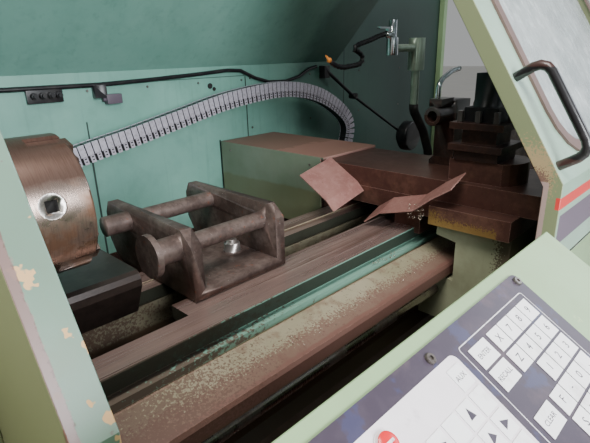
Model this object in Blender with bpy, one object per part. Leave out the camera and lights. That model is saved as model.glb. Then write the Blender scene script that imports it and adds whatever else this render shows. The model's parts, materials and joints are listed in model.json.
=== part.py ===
"""CNC turning lathe: a flat bed lathe with an open working bay, its sliding door pushed to the right.

Units are metres, +Z is up. The origin is on the floor under the middle of the machine. X runs along the
spindle axis towards the tailstock, and the operator stands on the -Y side.
"""
import math

import bmesh
import bpy
from mathutils import Vector

# Overall
machine_length = 3.55
machine_depth = 1.82
machine_height = 1.90
way_top = 0.90
centre_height = 0.249
spindle_y = 0.088
seat_gap = 0.0003
running_gap = 0.0006
slide_gap = 0.002
overrun = 0.01

# Feet and base
foot_radius = 0.05
foot_height = 0.035
stud_radius = 0.012
base_bottom = 0.06
plinth_height = 0.16
bed_seat = 0.55
base_front = -0.17
base_depth = 0.46
left_pedestal_depth = 0.86
left_pedestal_length = 0.80
right_pedestal_length = 0.46
pedestal_batter = 0.05
base_end_inset = 0.075

# Bed
bed_length = 3.19
bed_left_inset = 0.115
front_way_front = -0.059
front_way_width = 0.065
inner_way_width = 0.067
inner_way_drop = 0.004
way_lip = 0.032
way_recess = 0.013
way_gap = 0.098
rear_inner_width = 0.032
rear_way_width = 0.052
web_thickness = 0.055
bed_foot_height = 0.05
bed_foot_spread = 0.02
ledge_drop = 0.044
ledge_reach = 0.01
ledge_thickness = 0.014
groove_depth = 0.018
groove_width = 0.022
shoulder_drop = 0.046
shoulder_fall = 0.024
shoulder_width = 0.088
shoulder_lip = 0.035
shoulder_skin = 0.014
shoulder_edge = 0.008
inner_way_start = -0.595
rib_count = 9
rib_thickness = 0.03
rib_top_drop = 0.07

# Headstock
wall_left = -0.948
wall_thickness = 0.035
head_left = -1.60
head_front = -0.085
head_depth = 0.42
head_height = 0.50
head_chamfer = 0.05
head_foot_spread = 0.03
head_foot_height = 0.04
pad_right = -0.655
pad_front = 0.062
pad_depth = 0.238
pad_top = 0.995
pad_edge = 0.014
pad_undercut = 0.033

# Spindle and chuck
spindle_radius = 0.06
spindle_bore = 0.031
nose_radius = 0.09
nose_length = 0.05
chuck_radius = 0.11
chuck_length = 0.10
chuck_face = -0.749
chuck_bore = 0.038
chuck_edge = 0.004
back_plate_length = 0.028
back_plate_radius = 0.103
jaw_slot_width = 0.030
jaw_slot_depth = 0.055
jaw_inner = 0.045
jaw_length = 0.058
jaw_width = 0.028
jaw_projection = 0.016
jaw_step = 0.024
jaw_travel_in = 0.006
jaw_travel_out = 0.006
first_jaw_angle = 107.0
pinion_radius = 0.019
pinion_depth = 0.03
pinion_square = 0.0175
pinion_square_depth = 0.014
pinion_from_face = 0.058
scroll_pitch = 0.010
scroll_gear_ratio = 3.0

# Spindle drive
pulley_width = 0.07
spindle_pulley_radius = 0.11
motor_pulley_radius = 0.07
pulley_left = -1.73
belt_thickness = 0.008
belt_width = 0.05
motor_y = 0.46
motor_z = 0.765
motor_radius = 0.125
motor_length = 0.34
motor_shaft_radius = 0.019
motor_foot_height = 0.03

# Headstock cover
cover_front = -0.122
cover_depth = 0.84
cover_top = 1.62
sheet = 0.004
louvre_count = 7
louvre_length = 0.26
louvre_height = 0.012
louvre_pitch = 0.034
louvre_bottom = 0.90

# Working bay shell
door_plane = -0.443
leaf_thickness = 0.037
knee_z = 1.108
lean_angle = 58.0
bay_bottom = 0.60
top_rail_rise = 0.04
bay_top = machine_height - top_rail_rise
rear_wall_y = 0.8045
wall_sheet = 0.008
hood_fold_z = 1.329
hood_angle = 46.0
hood_right = 0.80
hood_sheet = 0.006
post_width = 0.03
frame_foot = 0.10
rail_height = 0.04
rail_depth = 0.05
wall_hole_radius = 0.152
notch_margin = 0.012

# Front panel, sill and trays
sill_top = 0.92
panel_bottom = 0.16
panel_front = -0.4427
panel_left = -1.775
sill_lip = 0.010
sill_rail_height = 0.016
tray_sheet = 0.003
tray_top = 0.74
tray_floor = 0.40
tray_slope = 0.10

# Door
door_left = 0.0
door_width = 0.96
door_bottom = 0.925
door_top_drop = 0.015
door_top = bay_top - door_top_drop
window_side = 0.10
window_bottom_share = 0.06
window_top_share = 0.90
window_corner = 0.10
gasket_width = 0.014
gasket_height = 0.006
glass_thickness = 0.006
handle_radius = 0.010
handle_length = 0.20
handle_reach = 0.065
handle_bend = 0.026
handle_offset = 0.020
handle_foot_s = 0.037
guard_gap = 0.003
guard_sheet = 0.003
guard_left = 0.03

# Console
console_right = -0.496
console_width = 0.60
console_back = -0.563
console_top = 1.181
console_tilt = 31.2
console_slope = 0.385
console_lip = 0.05
console_throat = 0.26
console_seat_top = 0.88
console_seat_height = 0.16
console_edge = 0.004
plate_right_inset = 0.1185
plate_top_inset = 0.012
plate_width = 0.44
plate_length = 0.339
plate_thickness = 0.002
key_pitch = 0.0187
key_height = 0.0006
key_right_inset = 0.0295
key_top_inset = 0.0291
plate_corner = 0.006
number_key_width = 0.94
number_key_height = 0.89
wide_key_width = 1.28
small_key_width = 0.80
small_key_height = 0.86
wide_key_column = 4.39
arrow_column = 6.31
arrow_step = 0.945
mode_column = 6.6
mode_row = 7.6
axis_column = 14.5
axis_row = 1.0
stop_radius = 0.0066
stop_height = 0.002
stop_stem_radius = 0.0035
stop_stroke = 0.0012
stop_collar_height = 0.0006
stop_collar_radius = 0.0082
stop_from_plate_side = 0.2302
stop_from_plate_top = 0.0268

# Lifting bracket
cheek_thickness = 0.0255
cheek_left = -0.559
bracket_length = 0.2515
cheek_front = 0.038
cheek_depth = 0.356
cheek_height = 0.146
cheek_chamfer = 0.031
cheek_chamfer_drop = 0.028
cheek_tail_height = 0.095
cheek_heel = 0.05
bracket_plate = 0.021
bracket_plate_depth = 0.23
front_pin_y = 0.092
front_pin_rise = 0.104
rear_pin_y = 0.287
rear_pin_rise = 0.118
pin_radius = 0.0195
boss_radius = 0.027
boss_length = 0.052
pin_flange_radius = 0.044
pin_flange_thickness = 0.012
pin_end_length = 0.056
pin_end_radius = 0.0225
bracket_nut_x = -0.375
bracket_nut_y = 0.150
nut_across_flats = 0.036
nut_height = 0.02
washer_radius = 0.024
washer_height = 0.004
bolt_radius = 0.012
bolt_stand = 0.008
clamp_bar_width = 0.05
clamp_bar_height = 0.025

# Carriage
saddle_left = 0.103
slide_width = 0.262
joint_rise = 0.0895
saddle_top_gap = 0.0005
bridge_height = 0.05
saddle_front = -0.137
saddle_wing_height = 0.055
front_wing_length = 0.50
rear_wing_length = 0.75
wide_wing_length = 0.26
wing_side = 0.016
tail_depth = 0.54
tail_drop = 0.085
tail_height = 0.03
tail_inset = 0.012
dovetail_width = 0.13
dovetail_height = 0.022
dovetail_splay = 0.008
ledge_block_left = 0.053
ledge_block_front = -0.335
ledge_block_height = 0.05
apron_left = 0.085
apron_length = 0.315
apron_front = -0.33
apron_back = -0.192
apron_bottom = 0.66
apron_throat = 0.045
apron_foot_back = -0.098
apron_foot_top = 0.785
cover_box_front = 0.283
cover_box_back = 0.795
cover_box_top = 1.0515
cover_box_bottom = 0.815
cover_box_sheet = 0.004
cover_lip = 0.012
lid_lip_height = 0.0085
lid_overhang = 0.012

# Cross slide and tool post
slide_thickness = 0.0565
slide_front = -0.375
slide_back = 0.46
post_left = 0.110
post_size = 0.136
post_front = -0.272
post_base_left = 0.128
post_base_height = 0.055
post_nose = 0.036
post_nose_steps = 8
post_core = 0.088
post_plate = 0.0165
post_slot = 0.0365
post_neck = 0.025
tool_bolt_size = 0.012
tool_bolt_height = 0.028
tool_bolt_count = 3
cap_size = 0.085
cap_height = 0.035
cap_top_size = 0.055
cap_top_height = 0.08
holder_y = -0.045
holder_left = 0.262
holder_length = 0.085
holder_width = 0.085
sleeve_radius = 0.026
sleeve_bore = 0.015
sleeve_left = 0.187
sleeve_rise = 0.148
sleeve_length = 0.165
holder_cap_height = 0.02
holder_wall = 0.012
coolant_bar_height = 0.02
coolant_bar_width = 0.036
coolant_bar_left = 0.200
coolant_tube_radius = 0.007

# Shields
shield_sheet = 0.003
rear_shield_reach = 0.14
rear_shield_back = 0.009
rear_shield_drop = 0.0163
rear_shield_run = 0.13
rear_shield_fall = 0.0853
rear_shield_droop = 0.22
front_shield_reach = 0.072
front_shield_start = -0.193
front_shield_run = 0.254
front_shield_fall = 0.139
front_shield_droop = 0.38

# Coolant stand
stand_x = 0.653
stand_y = 0.292
stand_pipe_radius = 0.0155
stand_pipe_bottom = 1.171
stand_foot_x = 0.79
stand_foot_radius = 0.0195
stand_bend_x = 0.735
stand_bend_z = 1.06
stand_sleeve_bottom = 1.296
stand_sleeve_top = 1.410
stand_sleeve_radius = 0.030
branch_z = 1.376
branch_radius = 0.013
valve_x = 0.490
valve_radius = 0.0205
valve_bottom = 1.353
valve_top = 1.467
valve_side_radius = 0.012
valve_lever_length = 0.055
hose_ball_radius = 0.009
hose_neck_radius = 0.006
hose_pitch = 0.0158
hose_route_shares = ((0.0, 0.0), (-0.06, 0.0), (-0.13, -0.015), (-0.30, -0.06), (-0.49, -0.10), (-0.585, -0.135), (-0.57, -0.165),
                     (-0.50, -0.18), (-0.435, -0.225), (-0.435, -0.275), (-0.50, -0.31), (-0.645, -0.32),
                     (-0.765, -0.33), (-0.88, -0.31), (-0.975, -0.265))
hose_reach = 0.30

# Screws and motors
z_screw_y = -0.135
z_screw_z = 0.745
z_screw_radius = 0.018
screw_lead = 0.010
bearing_block_length = 0.06
bearing_block_width = 0.07
bearing_block_height = 0.08
z_motor_size = 0.12
z_motor_length = 0.10
x_screw_radius = 0.0125
x_screw_z = 0.945
x_motor_length = 0.14
x_motor_front = 0.57
x_nut_front = 0.0
x_nut_length = 0.045
z_motor_plate = 0.015

# Tailstock
tail_left = 0.885
tail_length = 0.36
tail_base_height = 0.075
tail_body_width = 0.20
quill_radius = 0.035
quill_bore = 0.016
quill_stand = 0.046
quill_length = 0.36
wheel_radius = 0.11
wheel_rim = 0.011
quill_screw_lead = 0.005
tail_cap = 0.012
tail_tongue = 0.012

# Cable conduit, hoses, lamp
conduit_width = 0.062
conduit_depth = 0.042
conduit_y = 0.711
conduit_pitch = 0.0215
conduit_groove = 0.004
conduit_side_gap = 0.004
conduit_low = 0.775
rear_shield_sags = (0.0, -0.028, -0.054, -0.08, -0.108, 0.0)
front_shield_sags = (0.0, 0.043, 0.138, 0.039, -0.061, 0.0)
conduit_route_shares = ((0.0, 2.50), (1.9, 3.30), (4.2, 4.60), (7.1, 5.30), (9.7, 5.79), (12.7, 6.42), (15.8, 7.05),
                        (19.4, 7.40), (22.0, 7.25), (24.3, 6.60), (26.3, 5.45), (27.15, 4.35), (26.9, 3.0),
                        (25.9, 1.4), (24.2, 0.30), (22.6, 0.0), (19.0, 0.0), (17.6, 0.0))
small_hose_radius = 0.007
clip_width = 0.012
wall_conduit_z = 1.272
lamp_mount_x = 0.70
lamp_bracket_drop = 0.035
lamp_arm_reach = 0.28
wall_conduit_shares = ((0.0, 0.014), (0.18, 0.013), (0.348, 0.012), (0.45, 0.015), (0.58, 0.021), (0.66, 0.026), (0.70, 0.024),
                       (0.745, 0.005), (0.79, -0.007), (0.85, -0.009), (0.90, 0.0), (0.94, 0.018), (0.972, 0.024))
lamp_x = 1.166
lamp_y = 0.641
lamp_z = 0.951
lamp_radius = 0.075
lamp_depth = 0.09
lamp_arm_radius = 0.008

# Cabinet
cabinet_height = 1.30
cabinet_bottom = 0.30
cabinet_skin = 0.02
cabinet_door_thickness = 0.018
cabinet_hinge_radius = 0.006

# Facets
round_steps = 32
small_steps = 16
pin_steps = 24

# Places worked out from the sizes above
half_length = machine_length / 2
half_depth = machine_depth / 2
spindle_z = way_top + centre_height
wall_right = wall_left + wall_thickness
chuck_back = chuck_face - chuck_length
joint_z = way_top + joint_rise
slide_top = joint_z + slide_thickness + saddle_top_gap
slide_right = saddle_left + slide_width
bed_left = -half_length + bed_left_inset
bed_right = bed_left + bed_length
front_way_back = front_way_front + front_way_width
inner_way_back = front_way_back + inner_way_width
rear_inner_front = inner_way_back + way_gap
rear_way_front = rear_inner_front + rear_inner_width
rear_way_back = rear_way_front + rear_way_width
panel_thickness = door_plane + leaf_thickness + slide_gap - seat_gap - panel_front
cover_bottom = bed_seat + seat_gap
lean = math.radians(lean_angle)
lean_run = math.cos(lean)
lean_rise = math.sin(lean)
leaf_length = (door_top - knee_z) / lean_rise


def material(name, colour, roughness=0.5, metallic=0.0):
    """Principled material with the piece's own colour."""
    made = bpy.data.materials.new(name)
    made.use_nodes = True
    shader = made.node_tree.nodes["Principled BSDF"]
    shader.inputs["Base Color"].default_value = (*colour, 1.0)
    shader.inputs["Roughness"].default_value = roughness
    shader.inputs["Metallic"].default_value = metallic
    made.diffuse_color = (*colour, 1.0)
    return made


def place(axis, along, u, v):
    """Point whose outline lies across one axis: u and v follow in X, Y, Z order."""
    if axis == "X":
        return Vector((along, u, v))
    if axis == "Y":
        return Vector((u, along, v))
    return Vector((u, v, along))


def add_prism(mesh, outline, start, end, axis="X"):
    """Closed prism on an outline, from start to end along an axis."""
    low = [mesh.verts.new(place(axis, start, u, v)) for u, v in outline]
    high = [mesh.verts.new(place(axis, end, u, v)) for u, v in outline]
    faces = [mesh.faces.new(low), mesh.faces.new(high)]
    for i in range(len(outline)):
        j = (i + 1) % len(outline)
        faces.append(mesh.faces.new((low[i], low[j], high[j], high[i])))
    bmesh.ops.recalc_face_normals(mesh, faces=faces)


def add_box(mesh, low, high):
    """Closed box between two corners."""
    outline = [(low[1], low[2]), (high[1], low[2]), (high[1], high[2]), (low[1], high[2])]
    add_prism(mesh, outline, low[0], high[0])


def add_turned(mesh, profile, centre, axis="X", steps=round_steps, hollow=False):
    """Solid of revolution. The profile lists (along, radius); a hollow profile closes on itself."""
    rings = []
    for along, radius in profile:
        ring = []
        if radius <= 0.0:
            ring.append(mesh.verts.new(turned_point(centre, axis, along, 0.0, 0.0)))
        else:
            for i in range(steps):
                angle = 2 * math.pi * i / steps
                ring.append(mesh.verts.new(turned_point(centre, axis, along, radius, angle)))
        rings.append(ring)
    pairs = list(zip(rings, rings[1:]))
    if hollow:
        pairs.append((rings[-1], rings[0]))
    faces = []
    for one, two in pairs:
        for i in range(steps):
            j = (i + 1) % steps
            corners = [one[i % len(one)], one[j % len(one)], two[j % len(two)], two[i % len(two)]]
            unique = list(dict.fromkeys(corners))
            if len(unique) > 2:
                faces.append(mesh.faces.new(unique))
    bmesh.ops.recalc_face_normals(mesh, faces=faces)


def turned_point(centre, axis, along, radius, angle):
    """Point on a ring about an axis through a centre; the angle starts at the next axis."""
    u = radius * math.cos(angle)
    v = radius * math.sin(angle)
    return Vector(centre) + place(axis, along, u, v)


def add_tube(mesh, points, radius, steps=small_steps):
    """Solid round bar along a path, with flat ends."""
    path = [Vector(p) for p in points]
    rings = []
    side = None
    for i, here in enumerate(path):
        before = path[max(i - 1, 0)]
        after = path[min(i + 1, len(path) - 1)]
        ahead = (after - before).normalized()
        if side is None:
            helper = Vector((0, 0, 1)) if abs(ahead.z) < 0.9 else Vector((1, 0, 0))
            side = ahead.cross(helper).normalized()
        side = (side - ahead * side.dot(ahead)).normalized()
        up = ahead.cross(side)
        ring = []
        for k in range(steps):
            angle = 2 * math.pi * k / steps
            ring.append(mesh.verts.new(here + side * radius * math.cos(angle) + up * radius * math.sin(angle)))
        rings.append(ring)
    faces = [mesh.faces.new(rings[0]), mesh.faces.new(rings[-1])]
    for one, two in zip(rings, rings[1:]):
        for k in range(steps):
            j = (k + 1) % steps
            faces.append(mesh.faces.new((one[k], one[j], two[j], two[k])))
    bmesh.ops.recalc_face_normals(mesh, faces=faces)


def arc(centre_u, centre_v, radius, start, end, steps):
    """Points on a circular arc, angles in degrees."""
    points = []
    for i in range(steps + 1):
        angle = math.radians(start + (end - start) * i / steps)
        points.append((centre_u + radius * math.cos(angle), centre_v + radius * math.sin(angle)))
    return points


def rounded(low_u, low_v, high_u, high_v, radius, steps=4):
    """Rectangle outline with round corners."""
    outline = arc(high_u - radius, high_v - radius, radius, 0, 90, steps)
    outline += arc(low_u + radius, high_v - radius, radius, 90, 180, steps)
    outline += arc(low_u + radius, low_v + radius, radius, 180, 270, steps)
    outline += arc(high_u - radius, low_v + radius, radius, 270, 360, steps)
    return outline


def finish(name, mesh, look, origin=(0.0, 0.0, 0.0), smooth=False, parent=None):
    """Turns a bmesh into a named object whose origin lies on its joint axis."""
    bmesh.ops.translate(mesh, verts=mesh.verts, vec=-Vector(origin))
    data = bpy.data.meshes.new(name)
    mesh.to_mesh(data)
    mesh.free()
    made = bpy.data.objects.new(name, data)
    bpy.context.scene.collection.objects.link(made)
    made.location = origin
    data.materials.append(look)
    if smooth:
        data.shade_smooth()
        data.set_sharp_from_angle(angle=math.radians(35))
    if parent is not None:
        made.parent = parent
        made.location = Vector(origin) - world_place(parent)
    return made


def world_place(made):
    """World position of an object whose parents are only moved."""
    spot = made.location.copy()
    while made.parent is not None:
        made = made.parent
        spot += made.location
    return spot


def tool(mesh, name="cutter"):
    """Hidden body that a boolean reads."""
    data = bpy.data.meshes.new(name)
    mesh.to_mesh(data)
    mesh.free()
    made = bpy.data.objects.new(name, data)
    bpy.context.scene.collection.objects.link(made)
    made.hide_render = True
    made.display_type = "WIRE"
    return made


def boolean(target, other, operation):
    step = target.modifiers.new(operation.lower(), "BOOLEAN")
    step.operation = operation
    step.solver = "EXACT"
    step.object = other


def cut(target, mesh):
    boolean(target, tool(mesh), "DIFFERENCE")


def unite(target, mesh):
    boolean(target, tool(mesh, "added"), "UNION")


def leaning(s, out):
    """Place on the door's leaning plane: s up the slope from the knee, out away from the front face."""
    y = door_plane + s * lean_run - out * lean_rise
    z = knee_z + s * lean_rise + out * lean_run
    return y, z


def leaf_outline(front, thickness, low, high):
    """Section of a sheet or leaf that stands upright below the knee and leans back above it."""
    shift = thickness * math.tan(lean / 2 - math.pi / 4)
    knee_front = (door_plane + front, knee_z + front * math.tan(lean / 2 - math.pi / 4))
    knee_back = (knee_front[0] + thickness, knee_front[1] + shift)
    top_front = (knee_front[0] + (high - knee_front[1]) / math.tan(lean), high)
    top_back = (knee_back[0] + (high - knee_back[1]) / math.tan(lean), high)
    return [(knee_front[0], low), knee_front, top_front, top_back, knee_back, (knee_back[0], low)]


def looks():
    """Materials by name."""
    return {
        "green": material("panel_green", (0.52, 0.63, 0.45), 0.45),
        "olive": material("guard_olive", (0.33, 0.40, 0.26), 0.5),
        "teal": material("bay_teal", (0.16, 0.38, 0.33), 0.5),
        "cast": material("casting_green", (0.36, 0.41, 0.27), 0.55),
        "way": material("ground_way", (0.30, 0.20, 0.16), 0.35, 0.8),
        "steel": material("turned_steel", (0.42, 0.40, 0.39), 0.3, 1.0),
        "dark": material("dark_steel", (0.06, 0.045, 0.045), 0.55, 0.6),
        "brown": material("oily_iron", (0.11, 0.065, 0.055), 0.5, 0.5),
        "rust": material("rusted_plate", (0.36, 0.18, 0.15), 0.7, 0.2),
        "black": material("black_plastic", (0.02, 0.02, 0.022), 0.5),
        "rubber": material("rubber", (0.03, 0.03, 0.03), 0.7),
        "chrome": material("chrome_fitting", (0.7, 0.72, 0.74), 0.15, 1.0),
        "plate": material("console_plate", (0.16, 0.12, 0.15), 0.4),
        "keys": material("key_white", (0.85, 0.85, 0.88), 0.35),
        "glass": material("window_clear", (0.7, 0.74, 0.76), 0.2),
        "orange": material("nozzle_orange", (0.85, 0.36, 0.08), 0.45),
        "red": material("stop_red", (0.75, 0.05, 0.04), 0.35),
        "grey": material("cabinet_grey", (0.45, 0.47, 0.46), 0.5),
        "blue": material("motor_grey", (0.18, 0.2, 0.22), 0.5),
    }


def make_base(look):
    """Welded stand: a long plinth with a pedestal at each end."""
    left = -half_length + base_end_inset
    right = bed_right + base_end_inset
    top = bed_seat - seat_gap
    plinth_top = base_bottom + plinth_height
    mesh = bmesh.new()
    add_prism(mesh, [
        (left, base_bottom), (right, base_bottom), (right, top), (right - right_pedestal_length, top),
        (right - right_pedestal_length - pedestal_batter, plinth_top),
        (left + left_pedestal_length + pedestal_batter, plinth_top),
        (left + left_pedestal_length, top), (left, top),
    ], base_front, base_front + base_depth, "Y")
    base = finish("base", mesh, look["brown"])
    deep = bmesh.new()
    add_box(deep, (left, base_front + base_depth - overrun, base_bottom),
            (left + left_pedestal_length, base_front + left_pedestal_depth, top))
    unite(base, deep)
    return base, left, right


def add_feet(base, left, right):
    """Levelling feet under the plinth and the left pedestal."""
    back = base_front + base_depth
    inset = foot_radius + overrun
    spots = []
    for i in range(4):
        x = left + inset + (right - left - 2 * inset) * i / 3
        spots += [(x, base_front + inset), (x, back - inset)]
    spots.append((left + inset, base_front + left_pedestal_depth - inset))
    mesh = bmesh.new()
    for x, y in spots:
        add_turned(mesh, [(0.0, 0.0), (0.0, foot_radius), (foot_height / 2, foot_radius),
                          (foot_height, stud_radius), (base_bottom + overrun, stud_radius),
                          (base_bottom + overrun, 0.0)], (x, y, 0.0), "Z", small_steps)
    unite(base, mesh)


def make_bed(look):
    """Bed casting: two beams with ground ways, cross ribs between them and the sloping screw shoulder."""
    foot_top = bed_seat + bed_foot_height
    lip = way_top - way_lip
    inner_top = way_top - inner_way_drop
    web_front = front_way_front - way_recess / 2
    web_back = web_front + web_thickness + front_way_width / 2
    ledge_top = way_top - ledge_drop
    ledge_front = front_way_front - ledge_reach
    shoulder_inner = ledge_front - groove_width
    shoulder_top = way_top - shoulder_drop
    shoulder_front = shoulder_inner - shoulder_width
    shoulder_low = shoulder_top - shoulder_fall
    front = [
        (front_way_front, way_top), (front_way_back, way_top), (front_way_back, inner_top),
        (inner_way_back, inner_top), (inner_way_back, lip), (web_back, lip - way_recess),
        (web_back, foot_top), (web_back + bed_foot_spread, bed_seat), (web_front - bed_foot_spread, bed_seat),
        (web_front - bed_foot_spread, foot_top), (web_front, foot_top + bed_foot_spread),
        (web_front, shoulder_top - groove_depth - shoulder_skin),
        (shoulder_front + shoulder_skin, shoulder_low - shoulder_skin),
        (shoulder_front + shoulder_skin, shoulder_low - shoulder_lip),
        (shoulder_front, shoulder_low - shoulder_lip), (shoulder_front, shoulder_low - shoulder_edge),
        (shoulder_front + shoulder_edge / 2, shoulder_low),
        (shoulder_inner, shoulder_top), (shoulder_inner, ledge_top - groove_depth),
        (ledge_front, ledge_top - groove_depth), (ledge_front, ledge_top),
        (front_way_front + way_recess, ledge_top), (front_way_front + way_recess, lip),
        (front_way_front, lip),
    ]
    rear_web_back = rear_way_back - way_recess
    rear_web_front = rear_web_back - web_thickness
    rear = [
        (rear_inner_front, inner_top), (rear_way_front, inner_top), (rear_way_front, way_top),
        (rear_way_back, way_top), (rear_way_back, lip), (rear_web_back, lip - way_recess),
        (rear_web_back, foot_top), (rear_web_back + bed_foot_spread, bed_seat),
        (rear_web_front - bed_foot_spread, bed_seat), (rear_web_front, foot_top),
        (rear_web_front, lip - way_recess), (rear_inner_front, lip),
    ]
    mesh = bmesh.new()
    add_prism(mesh, front, bed_left, bed_right)
    add_prism(mesh, rear, bed_left, bed_right)
    bed = finish("bed", mesh, look["cast"])
    rib_top = way_top - rib_top_drop
    for i in range(rib_count):
        x = bed_left + rib_thickness + (bed_length - 3 * rib_thickness) * i / (rib_count - 1)
        rib = bmesh.new()
        half = rib_thickness / 2
        add_prism(rib, [(x - half, foot_top), (x + half, foot_top), (x + half, rib_top - half),
                        (x, rib_top), (x - half, rib_top - half)],
                  web_back - overrun, rear_web_front + overrun, "Y")
        unite(bed, rib)
    end = bmesh.new()
    add_box(end, (bed_left - overrun, shoulder_front - overrun, shoulder_low - shoulder_lip - overrun),
            (wall_right + slide_gap, (shoulder_inner + ledge_front) / 2, shoulder_top + overrun))
    cut(bed, end)
    gap = bmesh.new()
    add_box(gap, (bed_left - overrun, front_way_back, lip - way_recess - overrun),
            (inner_way_start, inner_way_back + overrun, way_top + overrun))
    cut(bed, gap)
    return web_front, web_back, rear_web_front


def make_headstock(look):
    """Headstock casting with its spindle bore and the pad that reaches out under the chuck."""
    right = wall_left - slide_gap
    bottom = way_top + seat_gap
    back = head_front + head_depth
    top = bottom + head_height
    mesh = bmesh.new()
    add_prism(mesh, [
        (head_front - head_foot_spread, bottom), (back + head_foot_spread, bottom),
        (back + head_foot_spread, bottom + head_foot_height), (back, bottom + head_foot_height + head_foot_spread),
        (back, top - head_chamfer), (back - head_chamfer, top), (head_front + head_chamfer, top),
        (head_front, top - head_chamfer), (head_front, bottom + head_foot_height + head_foot_spread),
        (head_front - head_foot_spread, bottom + head_foot_height),
    ], head_left, right)
    head = finish("headstock", mesh, look["cast"], smooth=False)
    pad = bmesh.new()
    add_prism(pad, [
        (pad_front + pad_undercut, bottom), (pad_front + pad_depth, bottom), (pad_front + pad_depth, pad_top),
        (pad_front + pad_edge, pad_top), (pad_front + pad_edge / 3, pad_top - pad_edge / 3),
        (pad_front, pad_top - pad_edge), (pad_front, pad_top - 2 * pad_edge),
    ], right - overrun, pad_right)
    unite(head, pad)
    bore = bmesh.new()
    bore_radius = spindle_radius + running_gap
    add_turned(bore, [(head_left - overrun, 0.0), (head_left - overrun, bore_radius),
                      (right + overrun, bore_radius), (right + overrun, 0.0)], (0.0, spindle_y, spindle_z))
    cut(head, bore)
    return head


def make_spindle(look):
    """Hollow spindle with its flange nose and its belt pulley."""
    nose_back = chuck_back - back_plate_length - seat_gap * 2 - nose_length
    nose_front = nose_back + nose_length
    x0, x1, face0, face1 = pulley_faces()
    lip = belt_thickness
    mesh = bmesh.new()
    r = spindle_pulley_radius
    body = spindle_radius
    add_turned(mesh, [(x0, spindle_bore), (x0, r + lip), (face0, r + lip), (face0, r), (face1, r), (face1, r + lip),
                      (x1, r + lip), (x1, body), (nose_back, body), (nose_back, nose_radius),
                      (nose_front, nose_radius), (nose_front, spindle_bore)],
               (0.0, spindle_y, spindle_z), hollow=True)
    return finish("spindle", mesh, look["steel"], (0.0, spindle_y, spindle_z), True)


def make_chuck(look, spindle):
    """Three jaw chuck: back plate, body with jaw slots and a pinion hole, jaws and the key pinion."""
    centre = (0.0, spindle_y, spindle_z)
    plate_left = chuck_back - seat_gap - back_plate_length
    mesh = bmesh.new()
    add_turned(mesh, [
        (plate_left, chuck_bore), (plate_left, back_plate_radius), (chuck_back, back_plate_radius),
        (chuck_back, chuck_radius - chuck_edge),
        (chuck_back + chuck_edge, chuck_radius), (chuck_face - chuck_edge, chuck_radius),
        (chuck_face, chuck_radius - chuck_edge), (chuck_face, chuck_bore),
    ], centre, steps=2 * round_steps, hollow=True)
    body = finish("chuck_body", mesh, look["steel"], centre, True, spindle)
    for i in range(3):
        make_jaw(look, i, math.radians(first_jaw_angle + 120 * i), body)
    make_pinion(look, math.radians(first_jaw_angle + 60), body)
    return body


def radial_frame(angle):
    """Radial and sideways directions of a jaw; the angle turns from +Y towards +Z."""
    out = Vector((0.0, math.cos(angle), math.sin(angle)))
    side = Vector((0.0, -math.sin(angle), math.cos(angle)))
    return out, side


def radial_box(mesh, angle, start_x, end_x, start_r, end_r, width):
    """Box that lies along a radius of the chuck."""
    out, side = radial_frame(angle)
    centre = Vector((0.0, spindle_y, spindle_z))
    corners = []
    for x in (start_x, end_x):
        for r, w in ((start_r, -width / 2), (end_r, -width / 2), (end_r, width / 2), (start_r, width / 2)):
            corners.append(mesh.verts.new(centre + Vector((x, 0, 0)) + out * r + side * w))
    a = corners
    faces = []
    for quad in ((0, 1, 2, 3), (4, 5, 6, 7), (0, 1, 5, 4), (1, 2, 6, 5), (2, 3, 7, 6), (3, 0, 4, 7)):
        faces.append(mesh.faces.new([a[k] for k in quad]))
    bmesh.ops.recalc_face_normals(mesh, faces=faces)


def make_jaw(look, index, angle, body):
    """Stepped jaw in its slot."""
    slot = bmesh.new()
    radial_box(slot, angle, chuck_face - jaw_slot_depth, chuck_face + overrun, chuck_bore / 2,
               chuck_radius + overrun, jaw_slot_width)
    cut(body, slot)
    out, side = radial_frame(angle)
    foot = chuck_face - jaw_slot_depth + seat_gap
    low = chuck_face + jaw_projection / 2
    high = chuck_face + jaw_projection
    end = jaw_inner + jaw_length
    outline = [(foot, jaw_inner), (foot, end), (low, end), (low, end - jaw_step),
               (high, end - jaw_step), (high, jaw_inner)]
    centre = Vector((0.0, spindle_y, spindle_z))
    mesh = bmesh.new()
    rows = []
    for w in (-jaw_width / 2, jaw_width / 2):
        rows.append([mesh.verts.new(centre + Vector((x, 0, 0)) + out * r + side * w) for x, r in outline])
    faces = [mesh.faces.new(rows[0]), mesh.faces.new(rows[1])]
    for i in range(len(outline)):
        j = (i + 1) % len(outline)
        faces.append(mesh.faces.new((rows[0][i], rows[0][j], rows[1][j], rows[1][i])))
    bmesh.ops.recalc_face_normals(mesh, faces=faces)
    origin = centre + Vector((chuck_face, 0, 0)) + out * (jaw_inner + jaw_length / 2)
    return finish("jaw_%d" % (index + 1), mesh, look["steel"], origin, False, body)


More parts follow.
